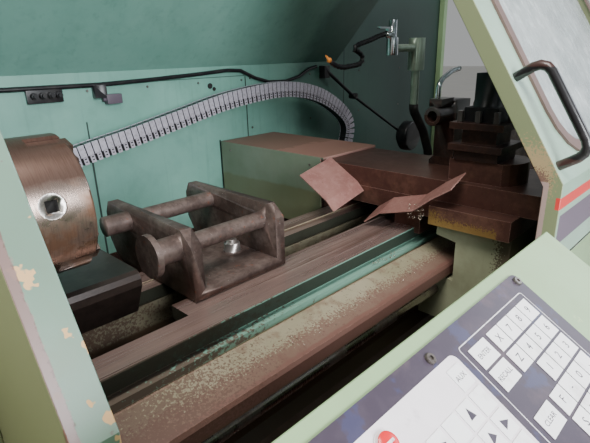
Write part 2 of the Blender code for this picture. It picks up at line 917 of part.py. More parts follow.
def make_pinion(look, angle, body):
    """Key pinion with a square socket, set radially in the chuck's rim."""
    out, side = radial_frame(angle)
    x = chuck_face - pinion_from_face
    centre = Vector((x, spindle_y, spindle_z))
    turn = Vector((0, 0, 1)).rotation_difference(out).to_matrix().to_4x4()
    top = chuck_radius - chuck_edge / 4
    hole = bmesh.new()
    add_turned(hole, [(top - pinion_depth - seat_gap, 0.0), (top - pinion_depth - seat_gap, pinion_radius + running_gap),
                      (top + overrun, pinion_radius + running_gap), (top + overrun, 0.0)],
               (0, 0, 0), "Z", small_steps)
    bmesh.ops.transform(hole, matrix=turn, verts=hole.verts)
    bmesh.ops.translate(hole, vec=centre, verts=hole.verts)
    cut(body, hole)
    mesh = bmesh.new()
    rim = top - chuck_edge / 2
    add_turned(mesh, [(top - pinion_depth, 0.0), (top - pinion_depth, pinion_radius), (rim, pinion_radius),
                      (rim, 0.0)], (0, 0, 0), "Z", small_steps)
    bmesh.ops.transform(mesh, matrix=turn, verts=mesh.verts)
    bmesh.ops.translate(mesh, vec=centre, verts=mesh.verts)
    pinion = finish("chuck_pinion", mesh, look["steel"], centre + out * rim, True, body)
    socket = bmesh.new()
    half = pinion_square / 2
    add_box(socket, (-half, -half, rim - pinion_square_depth), (half, half, rim + overrun))
    bmesh.ops.transform(socket, matrix=turn, verts=socket.verts)
    bmesh.ops.translate(socket, vec=centre, verts=socket.verts)
    cut(pinion, socket)
    return pinion


def pulley_faces():
    """Left and right ends of a pulley and of the groove for the belt."""
    x0 = pulley_left - pulley_width / 2
    x1 = pulley_left + pulley_width / 2
    side = (pulley_width - belt_width) / 2 - seat_gap
    return x0, x1, x0 + side, x1 - side


def make_drive(look):
    """Main motor, its pulley and the flat belt inside the headstock cover."""
    x0, x1, face0, face1 = pulley_faces()
    lip = belt_thickness
    motor_left = x1 + belt_thickness
    base_top = bed_seat
    mesh = bmesh.new()
    add_turned(mesh, [(motor_left, motor_shaft_radius + running_gap), (motor_left, motor_radius * 0.6),
                      (motor_left + pulley_width / 3, motor_radius), (motor_left + motor_length, motor_radius),
                      (motor_left + motor_length, motor_radius * 0.5),
                      (motor_left + pulley_width, motor_radius * 0.5),
                      (motor_left + pulley_width, motor_shaft_radius + running_gap)],
               (0, motor_y, motor_z), hollow=True)
    motor = finish("main_motor", mesh, look["blue"], (0, motor_y, motor_z), True)
    foot = bmesh.new()
    add_box(foot, (motor_left + pulley_width, motor_y - motor_radius * 0.9, base_top),
            (motor_left + motor_length - pulley_width / 2, motor_y + motor_radius * 0.9, base_top + motor_foot_height))
    unite(motor, foot)
    web = bmesh.new()
    add_box(web, (motor_left + pulley_width * 1.3, motor_y - motor_radius * 0.6, base_top + motor_foot_height / 2),
            (motor_left + motor_length - pulley_width, motor_y + motor_radius * 0.6, motor_z - motor_radius * 0.6))
    unite(motor, web)
    mesh = bmesh.new()
    r = motor_pulley_radius
    add_turned(mesh, [(x0, 0.0), (x0, r + lip), (face0, r + lip), (face0, r), (face1, r), (face1, r + lip),
                      (x1, r + lip), (x1, motor_shaft_radius),
                      (motor_left + pulley_width * 0.9, motor_shaft_radius),
                      (motor_left + pulley_width * 0.9, 0.0)], (0, motor_y, motor_z))
    small = finish("motor_pulley", mesh, look["steel"], (0, motor_y, motor_z), True)
    make_belt(look, face0 + 2 * seat_gap, face1 - 2 * seat_gap)
    return motor, small


def make_belt(look, start, end):
    """Belt round both pulleys: tangent runs joined by arcs."""
    reach = Vector((motor_y - spindle_y, motor_z - spindle_z))
    span = reach.length
    heading = math.degrees(math.atan2(reach.y, reach.x))
    spread = math.degrees(math.acos((spindle_pulley_radius - motor_pulley_radius) / span))
    loops = []
    for extra in (running_gap, running_gap + belt_thickness * 0.8):
        big = spindle_pulley_radius + extra
        small = motor_pulley_radius + extra
        loop = arc(spindle_y, spindle_z, big, heading + spread, heading + 360 - spread, round_steps)
        loop += arc(motor_y, motor_z, small, heading - spread, heading + spread, small_steps)
        loops.append(loop)
    mesh = bmesh.new()
    rings = []
    for x in (start, end):
        for loop in loops:
            rings.append([mesh.verts.new(Vector((x, y, z))) for y, z in loop])
    inner0, outer0, inner1, outer1 = rings
    faces = []
    count = len(loops[0])
    for i in range(count):
        j = (i + 1) % count
        faces.append(mesh.faces.new((inner0[i], inner0[j], outer0[j], outer0[i])))
        faces.append(mesh.faces.new((inner1[i], inner1[j], outer1[j], outer1[i])))
        faces.append(mesh.faces.new((inner0[i], inner0[j], inner1[j], inner1[i])))
        faces.append(mesh.faces.new((outer0[i], outer0[j], outer1[j], outer1[i])))
    bmesh.ops.recalc_face_normals(mesh, faces=faces)
    return finish("drive_belt", mesh, look["rubber"])


def make_headstock_cover(look):
    """Sheet cabinet round the headstock and its drive, open below and towards the bay wall."""
    right = wall_left - seat_gap
    back = cover_front + cover_depth
    left = -half_length
    mesh = bmesh.new()
    add_box(mesh, (left, cover_front, cover_bottom), (right, back, cover_top))
    cover = finish("headstock_cover", mesh, look["olive"])
    inside = bmesh.new()
    add_box(inside, (left + sheet, cover_front + sheet, cover_bottom - overrun),
            (right + overrun, back - sheet, cover_top - sheet))
    cut(cover, inside)
    middle = (cover_front + back) / 2
    slots = bmesh.new()
    for i in range(louvre_count):
        z = louvre_bottom + louvre_pitch * i
        add_box(slots, (left - overrun, middle - louvre_length / 2, z),
                (left + sheet + overrun, middle + louvre_length / 2, z + louvre_height))
    cut(cover, slots)
    return cover


def bay_outline(front_shift):
    """Side outline of the working bay behind the door's plane."""
    front = leaf_outline(leaf_thickness + front_shift, sheet, bay_bottom, bay_top)
    low, knee, top = front[0], front[1], front[2]
    hood_rise = bay_top - hood_fold_z
    hood_top = rear_wall_y - seat_gap - hood_rise / math.tan(math.radians(hood_angle))
    back = rear_wall_y - seat_gap
    return [low, knee, top, (hood_top, bay_top), (back, hood_fold_z), (back, bay_bottom)]


def make_left_wall(look, web_front):
    """Bay wall beside the headstock: its front edge leans like the door, the spindle nose goes through."""
    mesh = bmesh.new()
    add_prism(mesh, bay_outline(slide_gap), wall_left, wall_right)
    wall = finish("left_wall", mesh, look["green"])
    hole = bmesh.new()
    add_turned(hole, [(wall_left - overrun, 0.0), (wall_left - overrun, wall_hole_radius),
                      (wall_right + overrun, wall_hole_radius), (wall_right + overrun, 0.0)],
               (0, spindle_y, spindle_z))
    cut(wall, hole)
    notch = bmesh.new()
    add_box(notch, (wall_left - overrun, web_front - bed_foot_spread - notch_margin, bay_bottom - overrun),
            (wall_right + overrun, pad_front + pad_depth + notch_margin, pad_top + notch_margin))
    cut(wall, notch)
    return wall


def make_rear_wall(look):
    """Rear wall sheet and the hood panel that leans forward from its fold."""
    right = half_length
    mesh = bmesh.new()
    add_box(mesh, (wall_right + seat_gap, rear_wall_y, bay_bottom), (right, rear_wall_y + wall_sheet, bay_top))
    wall = finish("rear_wall", mesh, look["teal"])
    rise = bay_top - hood_fold_z
    run = rise / math.tan(math.radians(hood_angle))
    back = rear_wall_y - seat_gap
    skin = hood_sheet / math.sin(math.radians(hood_angle))
    mesh = bmesh.new()
    add_prism(mesh, [(back, hood_fold_z), (back, hood_fold_z + skin), (back - run + skin, bay_top),
                     (back - run, bay_top)], wall_right + seat_gap, hood_right)
    hood = finish("hood", mesh, look["teal"])
    gusset = bmesh.new()
    add_prism(gusset, [(back, hood_fold_z), (back, bay_top), (back - run, bay_top)],
              hood_right - hood_sheet, hood_right)
    unite(hood, gusset)
    return wall, hood


def make_right_frame(look):
    """Open frame that closes the bay's right end and carries the door rails."""
    right = half_length
    left = right - wall_thickness
    mesh = bmesh.new()
    front = leaf_outline(leaf_thickness + slide_gap, post_width, bay_bottom, bay_top)
    add_prism(mesh, front, left, right)
    frame = finish("right_frame", mesh, look["green"])
    back = rear_wall_y - seat_gap
    rear = bmesh.new()
    add_box(rear, (left, back - post_width, bay_bottom), (right, back, bay_top))
    unite(frame, rear)
    foot = bmesh.new()
    add_box(foot, (left, front[0][0] + overrun / 2, bay_bottom), (right, back - overrun / 2, bay_bottom + frame_foot))
    unite(frame, foot)
    top = bmesh.new()
    add_box(top, (left, front[2][0] + overrun, bay_top - post_width), (right, back - overrun / 2, bay_top))
    unite(frame, top)
    return frame


def make_rails(look):
    """Top rail over the door and the sill rail that its foot runs on."""
    left = wall_left
    right = half_length
    top_front = leaf_outline(0.0, leaf_thickness, bay_bottom, bay_top)[2][0]
    mesh = bmesh.new()
    low = bay_top + seat_gap
    hang = door_top - rail_height / 2
    front = top_front - rail_depth * 0.6
    add_prism(mesh, [
        (front - sheet, hang), (front, hang), (front, low), (top_front + rail_depth * 1.6, low),
        (top_front + rail_depth * 1.6, machine_height), (front - sheet, machine_height),
    ], left, right)
    finish("top_rail", mesh, look["green"])
    mesh = bmesh.new()
    back = panel_front + panel_thickness
    middle = door_plane + leaf_thickness / 2
    half = leaf_thickness / 6
    add_prism(mesh, [
        (panel_front, sill_top + seat_gap), (back, sill_top + seat_gap), (back, sill_top + sheet / 2),
        (middle + half, sill_top + sheet / 2), (middle + half, sill_top + sill_rail_height),
        (middle - half, sill_top + sill_rail_height), (middle - half, sill_top + sheet / 2),
        (panel_front, sill_top + sheet / 2),
    ], wall_left, right)
    finish("sill_rail", mesh, look["steel"])


def make_front_panel(look):
    """Fixed panel under the door, a folded box as long as the machine."""
    back = panel_front + panel_thickness
    mesh = bmesh.new()
    add_prism(mesh, [
        (panel_front, panel_bottom + sill_lip), (panel_front + sill_lip, panel_bottom), (back, panel_bottom),
        (back, sill_top), (panel_front + sill_lip / 2, sill_top), (panel_front, sill_top - sill_lip / 2),
    ], panel_left, half_length)
    return finish("front_panel", mesh, look["green"])


def make_trays(look):
    """Chip trays in front of the bed and behind it."""
    left = wall_right + slide_gap
    right = half_length - wall_thickness - slide_gap
    front = panel_front + panel_thickness + seat_gap
    t = tray_sheet
    stop = base_front - seat_gap
    mesh = bmesh.new()
    add_prism(mesh, [
        (front, tray_top), (front, tray_floor + tray_slope), (stop - tray_slope, tray_floor), (stop, tray_floor),
        (stop, tray_floor + t), (stop - tray_slope + t, tray_floor + t), (front + t, tray_floor + tray_slope + t),
        (front + t, tray_top),
    ], left, right)
    finish("front_chip_tray", mesh, look["rust"])
    start = base_front + base_depth + seat_gap
    back = rear_wall_y - seat_gap
    low = bay_bottom
    left = -half_length + base_end_inset + left_pedestal_length + slide_gap
    mesh = bmesh.new()
    add_prism(mesh, [
        (start, tray_floor), (start + tray_slope, tray_floor), (back, low), (back, tray_top), (back - t, tray_top),
        (back - t, low + t), (start + tray_slope - t, tray_floor + t), (start, tray_floor + t),
    ], left, right)
    finish("rear_chip_tray", mesh, look["rust"])


def window_cut(leaf, left, right, depth_front, depth_back):
    """Cuts the round cornered window through a leaning leaf and returns its outline in leaf sizes."""
    low = leaf_length * window_bottom_share
    high = leaf_length * window_top_share
    outline = rounded(left, low, right, high, window_corner)
    cutter = bmesh.new()
    add_leaning(cutter, outline, depth_front, depth_back)
    cut(leaf, cutter)
    return outline


def add_leaning(mesh, outline, front, back):
    """Prism across the leaning plane: the outline lists (x, s); front and back are depths along its normal."""
    rows = []
    for out in (front, back):
        row = []
        for x, s in outline:
            y, z = leaning(s, out)
            row.append(mesh.verts.new(Vector((x, y, z))))
        rows.append(row)
    faces = [mesh.faces.new(rows[0]), mesh.faces.new(rows[1])]
    for i in range(len(outline)):
        j = (i + 1) % len(outline)
        faces.append(mesh.faces.new((rows[0][i], rows[0][j], rows[1][j], rows[1][i])))
    bmesh.ops.recalc_face_normals(mesh, faces=faces)


def add_leaning_ring(mesh, outer, inner, front, back):
    """Ring across the leaning plane between two outlines with as many points."""
    rows = []
    for out in (front, back):
        for outline in (outer, inner):
            row = []
            for x, s in outline:
                y, z = leaning(s, out)
                row.append(mesh.verts.new(Vector((x, y, z))))
            rows.append(row)
    faces = []
    count = len(outer)
    for i in range(count):
        j = (i + 1) % count
        for one, two in ((0, 1), (2, 3), (0, 2), (1, 3)):
            faces.append(mesh.faces.new((rows[one][i], rows[one][j], rows[two][j], rows[two][i])))
    bmesh.ops.recalc_face_normals(mesh, faces=faces)


def make_door(look):
    """Sliding door: leaf with its window, gasket, pane and bar handle."""
    right = door_left + door_width
    origin = (door_left, door_plane, door_bottom)
    low = door_bottom + seat_gap
    mesh = bmesh.new()
    add_prism(mesh, leaf_outline(0.0, leaf_thickness, low, door_top), door_left, right)
    leaf = finish("door_leaf", mesh, look["green"], origin)
    groove = bmesh.new()
    middle = door_plane + leaf_thickness / 2
    half = leaf_thickness / 6 + running_gap
    add_box(groove, (door_left - overrun, middle - half, low - overrun),
            (right + overrun, middle + half, sill_top + sill_rail_height + running_gap))
    cut(leaf, groove)
    outline = window_cut(leaf, door_left + window_side, right - window_side, overrun, -leaf_thickness - overrun)
    low_s = leaf_length * window_bottom_share
    high_s = leaf_length * window_top_share
    tight = seat_gap
    mesh = bmesh.new()
    glass_front = -leaf_thickness / 2
    add_leaning(mesh, rounded(door_left + window_side + tight, low_s + tight, right - window_side - tight,
                              high_s - tight, window_corner - tight), glass_front, glass_front - glass_thickness)
    pane = finish("door_pane", mesh, look["glass"], origin, False, leaf)
    mesh = bmesh.new()
    g = gasket_width
    outer = rounded(door_left + window_side - g, low_s - g, right - window_side + g, high_s + g, window_corner + g)
    inner = rounded(door_left + window_side + g, low_s + g, right - window_side - g, high_s - g, window_corner - g)
    add_leaning_ring(mesh, outer, inner, gasket_height, seat_gap)
    gasket = finish("door_gasket", mesh, look["rubber"], origin, False, leaf)
    mesh = bmesh.new()
    x = door_left + handle_offset
    points = []
    low_foot = handle_foot_s
    high_foot = handle_foot_s + handle_length
    flat = handle_reach - handle_bend
    route = [(low_foot, seat_gap), (low_foot, flat)]
    route += [(low_foot + handle_bend - handle_bend * math.cos(math.radians(a)),
               flat + handle_bend * math.sin(math.radians(a))) for a in (30, 60, 90)]
    route += [(high_foot - handle_bend + handle_bend * math.sin(math.radians(a)),
               flat + handle_bend * math.cos(math.radians(a))) for a in (0, 30, 60, 90)]
    route.append((high_foot, seat_gap))
    for s, out in route:
        y, z = leaning(s, out)
        points.append((x, y, z))
    add_tube(mesh, points, handle_radius)
    handle = finish("door_handle", mesh, look["black"], origin, True, leaf)
    return leaf, pane, gasket, handle


def make_right_guard(look):
    """Fixed guard sheet behind the open door, with a window of its own."""
    right = half_length - wall_thickness - seat_gap
    front = leaf_thickness + guard_gap
    mesh = bmesh.new()
    add_prism(mesh, leaf_outline(front, guard_sheet, sill_top + sheet, door_top - sheet), guard_left, right)
    guard = finish("right_guard", mesh, look["green"])
    window_cut(guard, guard_left + window_side, right - window_side, overrun, -front - guard_sheet - overrun)
    low_s = leaf_length * window_bottom_share
    high_s = leaf_length * window_top_share
    mesh = bmesh.new()
    tight = seat_gap
    add_leaning(mesh, rounded(guard_left + window_side + tight, low_s + tight, right - window_side - tight,
                              high_s - tight, window_corner - tight),
                -front - seat_gap, -front - guard_sheet + seat_gap)
    pane = finish("guard_pane", mesh, look["glass"])
    return guard, pane


def desk_point(right_inset, down, rise):
    """Place on the console's sloping face: inset from its right end, down from its top edge, rise off it."""
    tilt = math.radians(console_tilt)
    x = console_right - right_inset
    y = console_back - down * math.cos(tilt) - rise * math.sin(tilt)
    z = console_top - down * math.sin(tilt) + rise * math.cos(tilt)
    return Vector((x, y, z))


def add_desk_prism(mesh, outline, low, high):
    """Prism on the sloping face; the outline lists (right inset, down)."""
    rows = []
    for rise in (low, high):
        rows.append([mesh.verts.new(desk_point(u, v, rise)) for u, v in outline])
    faces = [mesh.faces.new(rows[0]), mesh.faces.new(rows[1])]
    for i in range(len(outline)):
        j = (i + 1) % len(outline)
        faces.append(mesh.faces.new((rows[0][i], rows[0][j], rows[1][j], rows[1][i])))
    bmesh.ops.recalc_face_normals(mesh, faces=faces)


def make_console(look):
    """Operator's desk: sloping housing on the front panel, key plate, keys and the stop button."""
    tilt = math.radians(console_tilt)
    front_y = console_back - console_slope * math.cos(tilt)
    front_z = console_top - console_slope * math.sin(tilt)
    seat = panel_front - seat_gap
    left = console_right - console_width
    mesh = bmesh.new()
    add_prism(mesh, [
        (console_back, console_top), (front_y, front_z), (-half_depth, front_z - console_edge),
        (-half_depth, front_z - console_lip), (front_y + console_throat, console_seat_top - console_seat_height),
        (seat, console_seat_top - console_seat_height), (seat, console_seat_top), (console_back, console_seat_top),
    ], left, console_right)
    housing = finish("console_housing", mesh, look["green"])
    plate_bottom = plate_top_inset + plate_length
    plate_left = plate_right_inset + plate_width
    mesh = bmesh.new()
    add_desk_prism(mesh, rounded(plate_right_inset, plate_top_inset, plate_left, plate_bottom, plate_corner),
                   seat_gap, plate_thickness)
    stop_u = plate_right_inset + stop_from_plate_side
    stop_v = plate_top_inset + stop_from_plate_top
    plate = finish("console_plate", mesh, look["plate"])
    turn, origin = add_stop_collar(plate, stop_u, stop_v)
    mesh = bmesh.new()
    first_u = plate_right_inset + key_right_inset
    first_v = plate_top_inset + key_top_inset
    for column, row, width, height in key_places():
        u = first_u + key_pitch * column
        v = first_v + key_pitch * row
        a = key_pitch * width / 2
        b = key_pitch * height / 2
        outline = [(u - a, v - b), (u + a, v - b), (u + a, v + b), (u - a, v + b)]
        add_desk_prism(mesh, outline, plate_thickness / 2, plate_thickness + key_height)
    unite(plate, mesh)
    make_stop_button(look, turn, origin)
    return housing


def key_places():
    """Column, row, width and height of each key in shares of the key pitch.

    Columns count leftwards from the number block's right column, rows count down.
    """
    number = (number_key_width, number_key_height)
    wide = (wide_key_width, number_key_height)
    small = (small_key_width, small_key_height)
    places = [(column, row) + number for row in range(7) for column in range(4) if (column, row) != (3, 2)]
    places += [(wide_key_column, row) + wide for row in (0, 1, 3)]
    places.append((arrow_column, 0) + small)
    places += [(arrow_column + column * arrow_step, 1 + row * arrow_step) + small
               for row in range(5) for column in range(4)]
    places += [(mode_column + column, mode_row + row) + number for row in range(7) for column in range(6)]
    places += [(axis_column + column, axis_row + row) + number for row in range(12) for column in range(4)]
    return places


def add_stop_collar(plate, u, v):
    """Ring that guides the stop button's stem."""
    tilt = math.radians(console_tilt)
    origin = desk_point(u, v, plate_thickness)
    normal = Vector((0.0, -math.sin(tilt), math.cos(tilt)))
    turn = Vector((0, 0, 1)).rotation_difference(normal).to_matrix().to_4x4()
    collar = stop_collar_height
    ring = bmesh.new()
    low = -plate_thickness / 2
    add_turned(ring, [(low, stop_stem_radius + seat_gap), (low, stop_collar_radius),
                      (collar, stop_collar_radius), (collar, stop_stem_radius + seat_gap)],
               (0, 0, 0), "Z", small_steps, True)
    bmesh.ops.transform(ring, matrix=turn, verts=ring.verts)
    bmesh.ops.translate(ring, vec=origin, verts=ring.verts)
    unite(plate, ring)
    return turn, origin


def make_stop_button(look, turn, origin):
    """Small round stop key on its stem."""
    mesh = bmesh.new()
    under = stop_collar_height + stop_stroke + seat_gap
    stem = stop_stem_radius - seat_gap
    stem_low = stop_stroke + seat_gap * 2
    add_turned(mesh, [(stem_low, 0.0), (stem_low, stem), (under, stem),
                      (under, stop_radius), (under + stop_height * 0.4, stop_radius),
                      (under + stop_height * 0.8, stop_radius * 0.8), (under + stop_height, stop_radius * 0.4),
                      (under + stop_height, 0.0)], (0, 0, 0), "Z", 2 * small_steps)
    bmesh.ops.transform(mesh, matrix=turn, verts=mesh.verts)
    bmesh.ops.translate(mesh, vec=origin, verts=mesh.verts)
    return finish("stop_button", mesh, look["red"], origin, True)


def make_bracket(look, web_back, rear_web_front):
    """Lifting bracket on the inner ways: two cheeks on a base plate, two pins and the clamp."""
    bottom = way_top + seat_gap
    top = way_top + cheek_height
    right = cheek_left + bracket_length
    back = cheek_front + cheek_depth
    cheek = [
        (cheek_front, bottom), (cheek_front, top - cheek_chamfer_drop), (cheek_front + cheek_chamfer, top),
        (back - cheek_chamfer / 2, top), (back, top - cheek_chamfer_drop), (back, top - cheek_tail_height),
        (back - cheek_heel / 2, bottom + cheek_heel / 4), (back - cheek_heel, bottom),
    ]
    mesh = bmesh.new()
    add_prism(mesh, cheek, cheek_left, cheek_left + cheek_thickness)
    add_prism(mesh, cheek, right - cheek_thickness, right)
    bracket = finish("lifting_bracket", mesh, look["dark"])
    plate = bmesh.new()
    add_box(plate, (cheek_left + cheek_thickness / 2, cheek_front, bottom),
            (right - cheek_thickness / 2, cheek_front + bracket_plate_depth, bottom + bracket_plate))
    unite(bracket, plate)
    front = (0.0, front_pin_y, way_top + front_pin_rise)
    rear = (0.0, rear_pin_y, way_top + rear_pin_rise)
    disc = cheek_left - boss_length
    pin = bmesh.new()
    mid_cheek = cheek_left + cheek_thickness / 2
    add_turned(pin, [(disc - pin_flange_thickness, 0), (disc - pin_flange_thickness, pin_flange_radius),
                     (disc, pin_flange_radius), (disc, boss_radius), (mid_cheek, boss_radius),
                     (mid_cheek, pin_radius), (right + cheek_thickness / 3, pin_radius),
                     (right + cheek_thickness / 3, 0)], front, steps=pin_steps)
    unite(bracket, pin)
    pin = bmesh.new()
    inside = right - cheek_thickness / 2
    add_turned(pin, [(cheek_left - pin_end_length, 0), (cheek_left - pin_end_length, pin_end_radius),
                      (mid_cheek, pin_end_radius), (mid_cheek, pin_radius),
                      (inside - pin_flange_thickness, pin_radius), (inside - pin_flange_thickness, boss_radius),
                      (inside, boss_radius), (inside, pin_radius), (right + cheek_thickness / 4, pin_radius),
                      (right + cheek_thickness / 4, 0)], rear, steps=pin_steps)
    unite(bracket, pin)
    add_clamp(bracket, bottom, web_back, rear_web_front)
    return bracket


def hexagon(u, v, across):
    """Hexagon outline by its width across flats."""
    corner = across / 2 / math.cos(math.radians(30))
    return [(u + corner * math.cos(math.radians(60 * i)), v + corner * math.sin(math.radians(60 * i)))
            for i in range(6)]


def add_clamp(bracket, bottom, web_back, rear_web_front):
    """Stud, washer and nut of the bracket, with the clamp bar under the inner ways."""
    x, y = bracket_nut_x, bracket_nut_y
    top = bottom + bracket_plate
    bar_top = way_top - way_lip - way_recess - seat_gap
    bar_low = bar_top - clamp_bar_height
    washer_top = top + washer_height
    nut_top = washer_top + nut_height
    stud = bmesh.new()
    add_turned(stud, [(bar_low + overrun, 0.0), (bar_low + overrun, bolt_radius), (top - slide_gap, bolt_radius),
                      (top - slide_gap, washer_radius), (washer_top, washer_radius), (washer_top, bolt_radius),
                      (nut_top + bolt_stand, bolt_radius), (nut_top + bolt_stand, 0.0)], (x, y, 0), "Z", small_steps)
    unite(bracket, stud)
    nut = bmesh.new()
    add_prism(nut, hexagon(x, y, nut_across_flats), washer_top - slide_gap, nut_top, "Z")
    unite(bracket, nut)
    half = clamp_bar_width / 2
    bar = bmesh.new()
    add_box(bar, (x - half, web_back + slide_gap, bar_low), (x + half, rear_web_front - slide_gap, bar_top))
    unite(bracket, bar)


def make_saddle(look):
    """Saddle: front and rear wings on the ways, the bridge with its dovetail and the tail for the drive."""
    bottom = way_top + seat_gap
    top = joint_z
    mesh = bmesh.new()
    bridge_low = top - bridge_height
    add_box(mesh, (saddle_left, saddle_front, bridge_low), (slide_right, rear_way_back + wing_side, top))
    saddle = finish("saddle", mesh, look["brown"], (saddle_left, spindle_y, way_top))
    front = bmesh.new()
    add_prism(front, [
        (front_way_front - wing_side, bottom - way_lip / 2), (front_way_front - seat_gap, bottom - way_lip / 2),
        (front_way_front - seat_gap, bottom), (front_way_back - seat_gap, bottom),
        (front_way_back - seat_gap, bottom + saddle_wing_height),
        (front_way_front - wing_side, bottom + saddle_wing_height),
    ], saddle_left, saddle_left + front_wing_length)
    unite(saddle, front)
    rear = bmesh.new()
    add_prism(rear, [
        (rear_way_front + seat_gap, bottom), (rear_way_back + seat_gap, bottom),
        (rear_way_back + seat_gap, bottom - way_lip / 2), (rear_way_back + wing_side, bottom - way_lip / 2),
        (rear_way_back + wing_side, bottom + saddle_wing_height),
        (rear_way_front + seat_gap, bottom + saddle_wing_height),
    ], saddle_left, saddle_left + rear_wing_length)
    unite(saddle, rear)
    wing_right = saddle_left + rear_wing_length
    wide = bmesh.new()
    add_box(wide, (wing_right - wide_wing_length, rear_way_back + wing_side - overrun, bottom - way_lip / 2 + sheet),
            (wing_right - sheet, rear_way_back + 5 * wing_side, bottom + saddle_wing_height / 2))
    unite(saddle, wide)
    middle = (saddle_left + slide_right) / 2
    half = dovetail_width / 2
    splay = dovetail_splay
    ridge = bmesh.new()
    ridge_top = top + dovetail_height
    add_prism(ridge, [(middle - half, top - overrun), (middle + half, top - overrun), (middle + half, top),
                      (middle + half + splay, ridge_top), (middle - half - splay, ridge_top), (middle - half, top)],
              saddle_front, rear_way_back + wing_side, "Y")
    unite(saddle, ridge)
    tail = bmesh.new()
    add_prism(tail, [
        (rear_way_back + wing_side - overrun, top - bridge_height), (rear_way_back + wing_side - overrun, top),
        (rear_way_back + wing_side, top), (rear_way_back + wing_side + tail_drop, top - tail_drop),
        (cover_box_back - cover_box_sheet - seat_gap, top - tail_drop),
        (cover_box_back - cover_box_sheet - seat_gap, top - tail_drop - tail_height),
        (rear_way_back + wing_side + tail_drop, top - tail_drop - tail_height),
    ], saddle_left + tail_inset, slide_right - tail_inset)
    unite(saddle, tail)
    screw_x = middle
    channel = bmesh.new()
    size = x_screw_radius * 2
    add_box(channel, (screw_x - size, saddle_front - overrun, x_screw_z - size),
            (screw_x + size, rear_way_back + wing_side + tail_drop, x_screw_z + size))
    cut(saddle, channel)
    slot = bmesh.new()
    add_box(slot, (screw_x - size / 2, saddle_front - overrun, x_screw_z),
            (screw_x + size / 2, rear_way_back + wing_side + overrun, ridge_top + overrun))
    cut(saddle, slot)
    hanger = bmesh.new()
    hanger_top = top - tail_drop - tail_height
    reach = conduit_depth / 2 + conduit_side_gap
    for y in (conduit_y - reach - sheet, conduit_y + reach):
        add_box(hanger, (screw_x - conduit_width / 2, y, conduit_low - conduit_width / 2),
                (screw_x + conduit_width / 2, y + sheet, hanger_top + overrun))
    unite(saddle, hanger)
    return saddle, middle


def make_apron(look, saddle):
    """Ledge block and apron in front of the bed; the apron's foot reaches under the shoulder to the nut."""
    top = joint_z - seat_gap
    low = top - ledge_block_height
    back = saddle_front + overrun
    mesh = bmesh.new()
    add_prism(mesh, [(ledge_block_front, low), (back, low), (back, top), (ledge_block_front, top)],
              ledge_block_left, apron_left + apron_length)
    unite(saddle, mesh)
    apron_top = low - seat_gap
    web = apron_back
    foot = apron_foot_back
    mesh = bmesh.new()
    add_prism(mesh, [
        (apron_front, apron_bottom), (foot, apron_bottom), (foot, apron_foot_top), (web, apron_foot_top),
        (web, apron_top - apron_throat), (saddle_front, apron_top - apron_throat + overrun),
        (saddle_front, apron_top), (apron_front, apron_top),
    ], apron_left, apron_left + apron_length)
    apron = finish("apron", mesh, look["green"], (apron_left, apron_front, apron_top), False, saddle)
    bore = bmesh.new()
    r = z_screw_radius + running_gap
    add_turned(bore, [(apron_left - overrun, 0), (apron_left - overrun, r), (apron_left + apron_length + overrun, r),
                      (apron_left + apron_length + overrun, 0)], (0, z_screw_y, z_screw_z))
    cut(apron, bore)
    return apron


def bent_sheet(points, thickness):
    """Outline of a bent sheet from the line of its top side."""
    path = [Vector(p) for p in points]
    lower = []
    for i, here in enumerate(path):
        before = path[max(i - 1, 0)]
        after = path[min(i + 1, len(path) - 1)]
        along = (after - before).normalized()
        normal = Vector((-along.y, along.x))
        if normal.y > 0:
            normal = -normal
        lower.append(here + normal * thickness)
    return [tuple(p) for p in path] + [tuple(p) for p in reversed(lower)]


def make_shields(look, saddle):
    """Two bent chip shields on the saddle's left side, falling towards the middle of the bed."""
    right = saddle_left - seat_gap
    high = joint_z + slide_thickness
    mesh = bmesh.new()
    rear_points = shield_line(rear_way_back - rear_shield_back, high - rear_shield_drop,
                              rear_way_back - rear_shield_back - rear_shield_run,
                              high - rear_shield_drop - rear_shield_fall, rear_shield_sags)
    add_prism(mesh, bent_sheet(rear_points, shield_sheet), right - rear_shield_reach, right)
    droop(mesh, right - rear_shield_reach, rear_shield_droop)
    finish("rear_shield", mesh, look["rust"], (right, *rear_points[0]), False, saddle)
    mesh = bmesh.new()
    front_points = shield_line(front_shield_start, high + shield_sheet, front_shield_start + front_shield_run,
                               high + shield_sheet - front_shield_fall, front_shield_sags)
    add_prism(mesh, bent_sheet(front_points, shield_sheet), right - front_shield_reach, right)
    droop(mesh, right - front_shield_reach, front_shield_droop)
    finish("front_shield", mesh, look["rust"], (right, *front_points[0]), False, saddle)


def droop(mesh, low_x, rise):
    """Tilts a sheet so that it rises away from its free side."""
    for vert in mesh.verts:
        vert.co.z += rise * (vert.co.x - low_x)


def shield_line(start_y, start_z, end_y, end_z, sag_shares):
    """Line from a shield's high edge to its low edge, bent down or up by shares of its fall."""
    points = []
    steps = len(sag_shares)
    for i, sag in enumerate(sag_shares):
        t = i / (steps - 1)
        fall = end_z - start_z
        points.append((start_y + (end_y - start_y) * t, start_z + fall * (t + (sag if 0 < t < 1 else 0.0))))
    return points


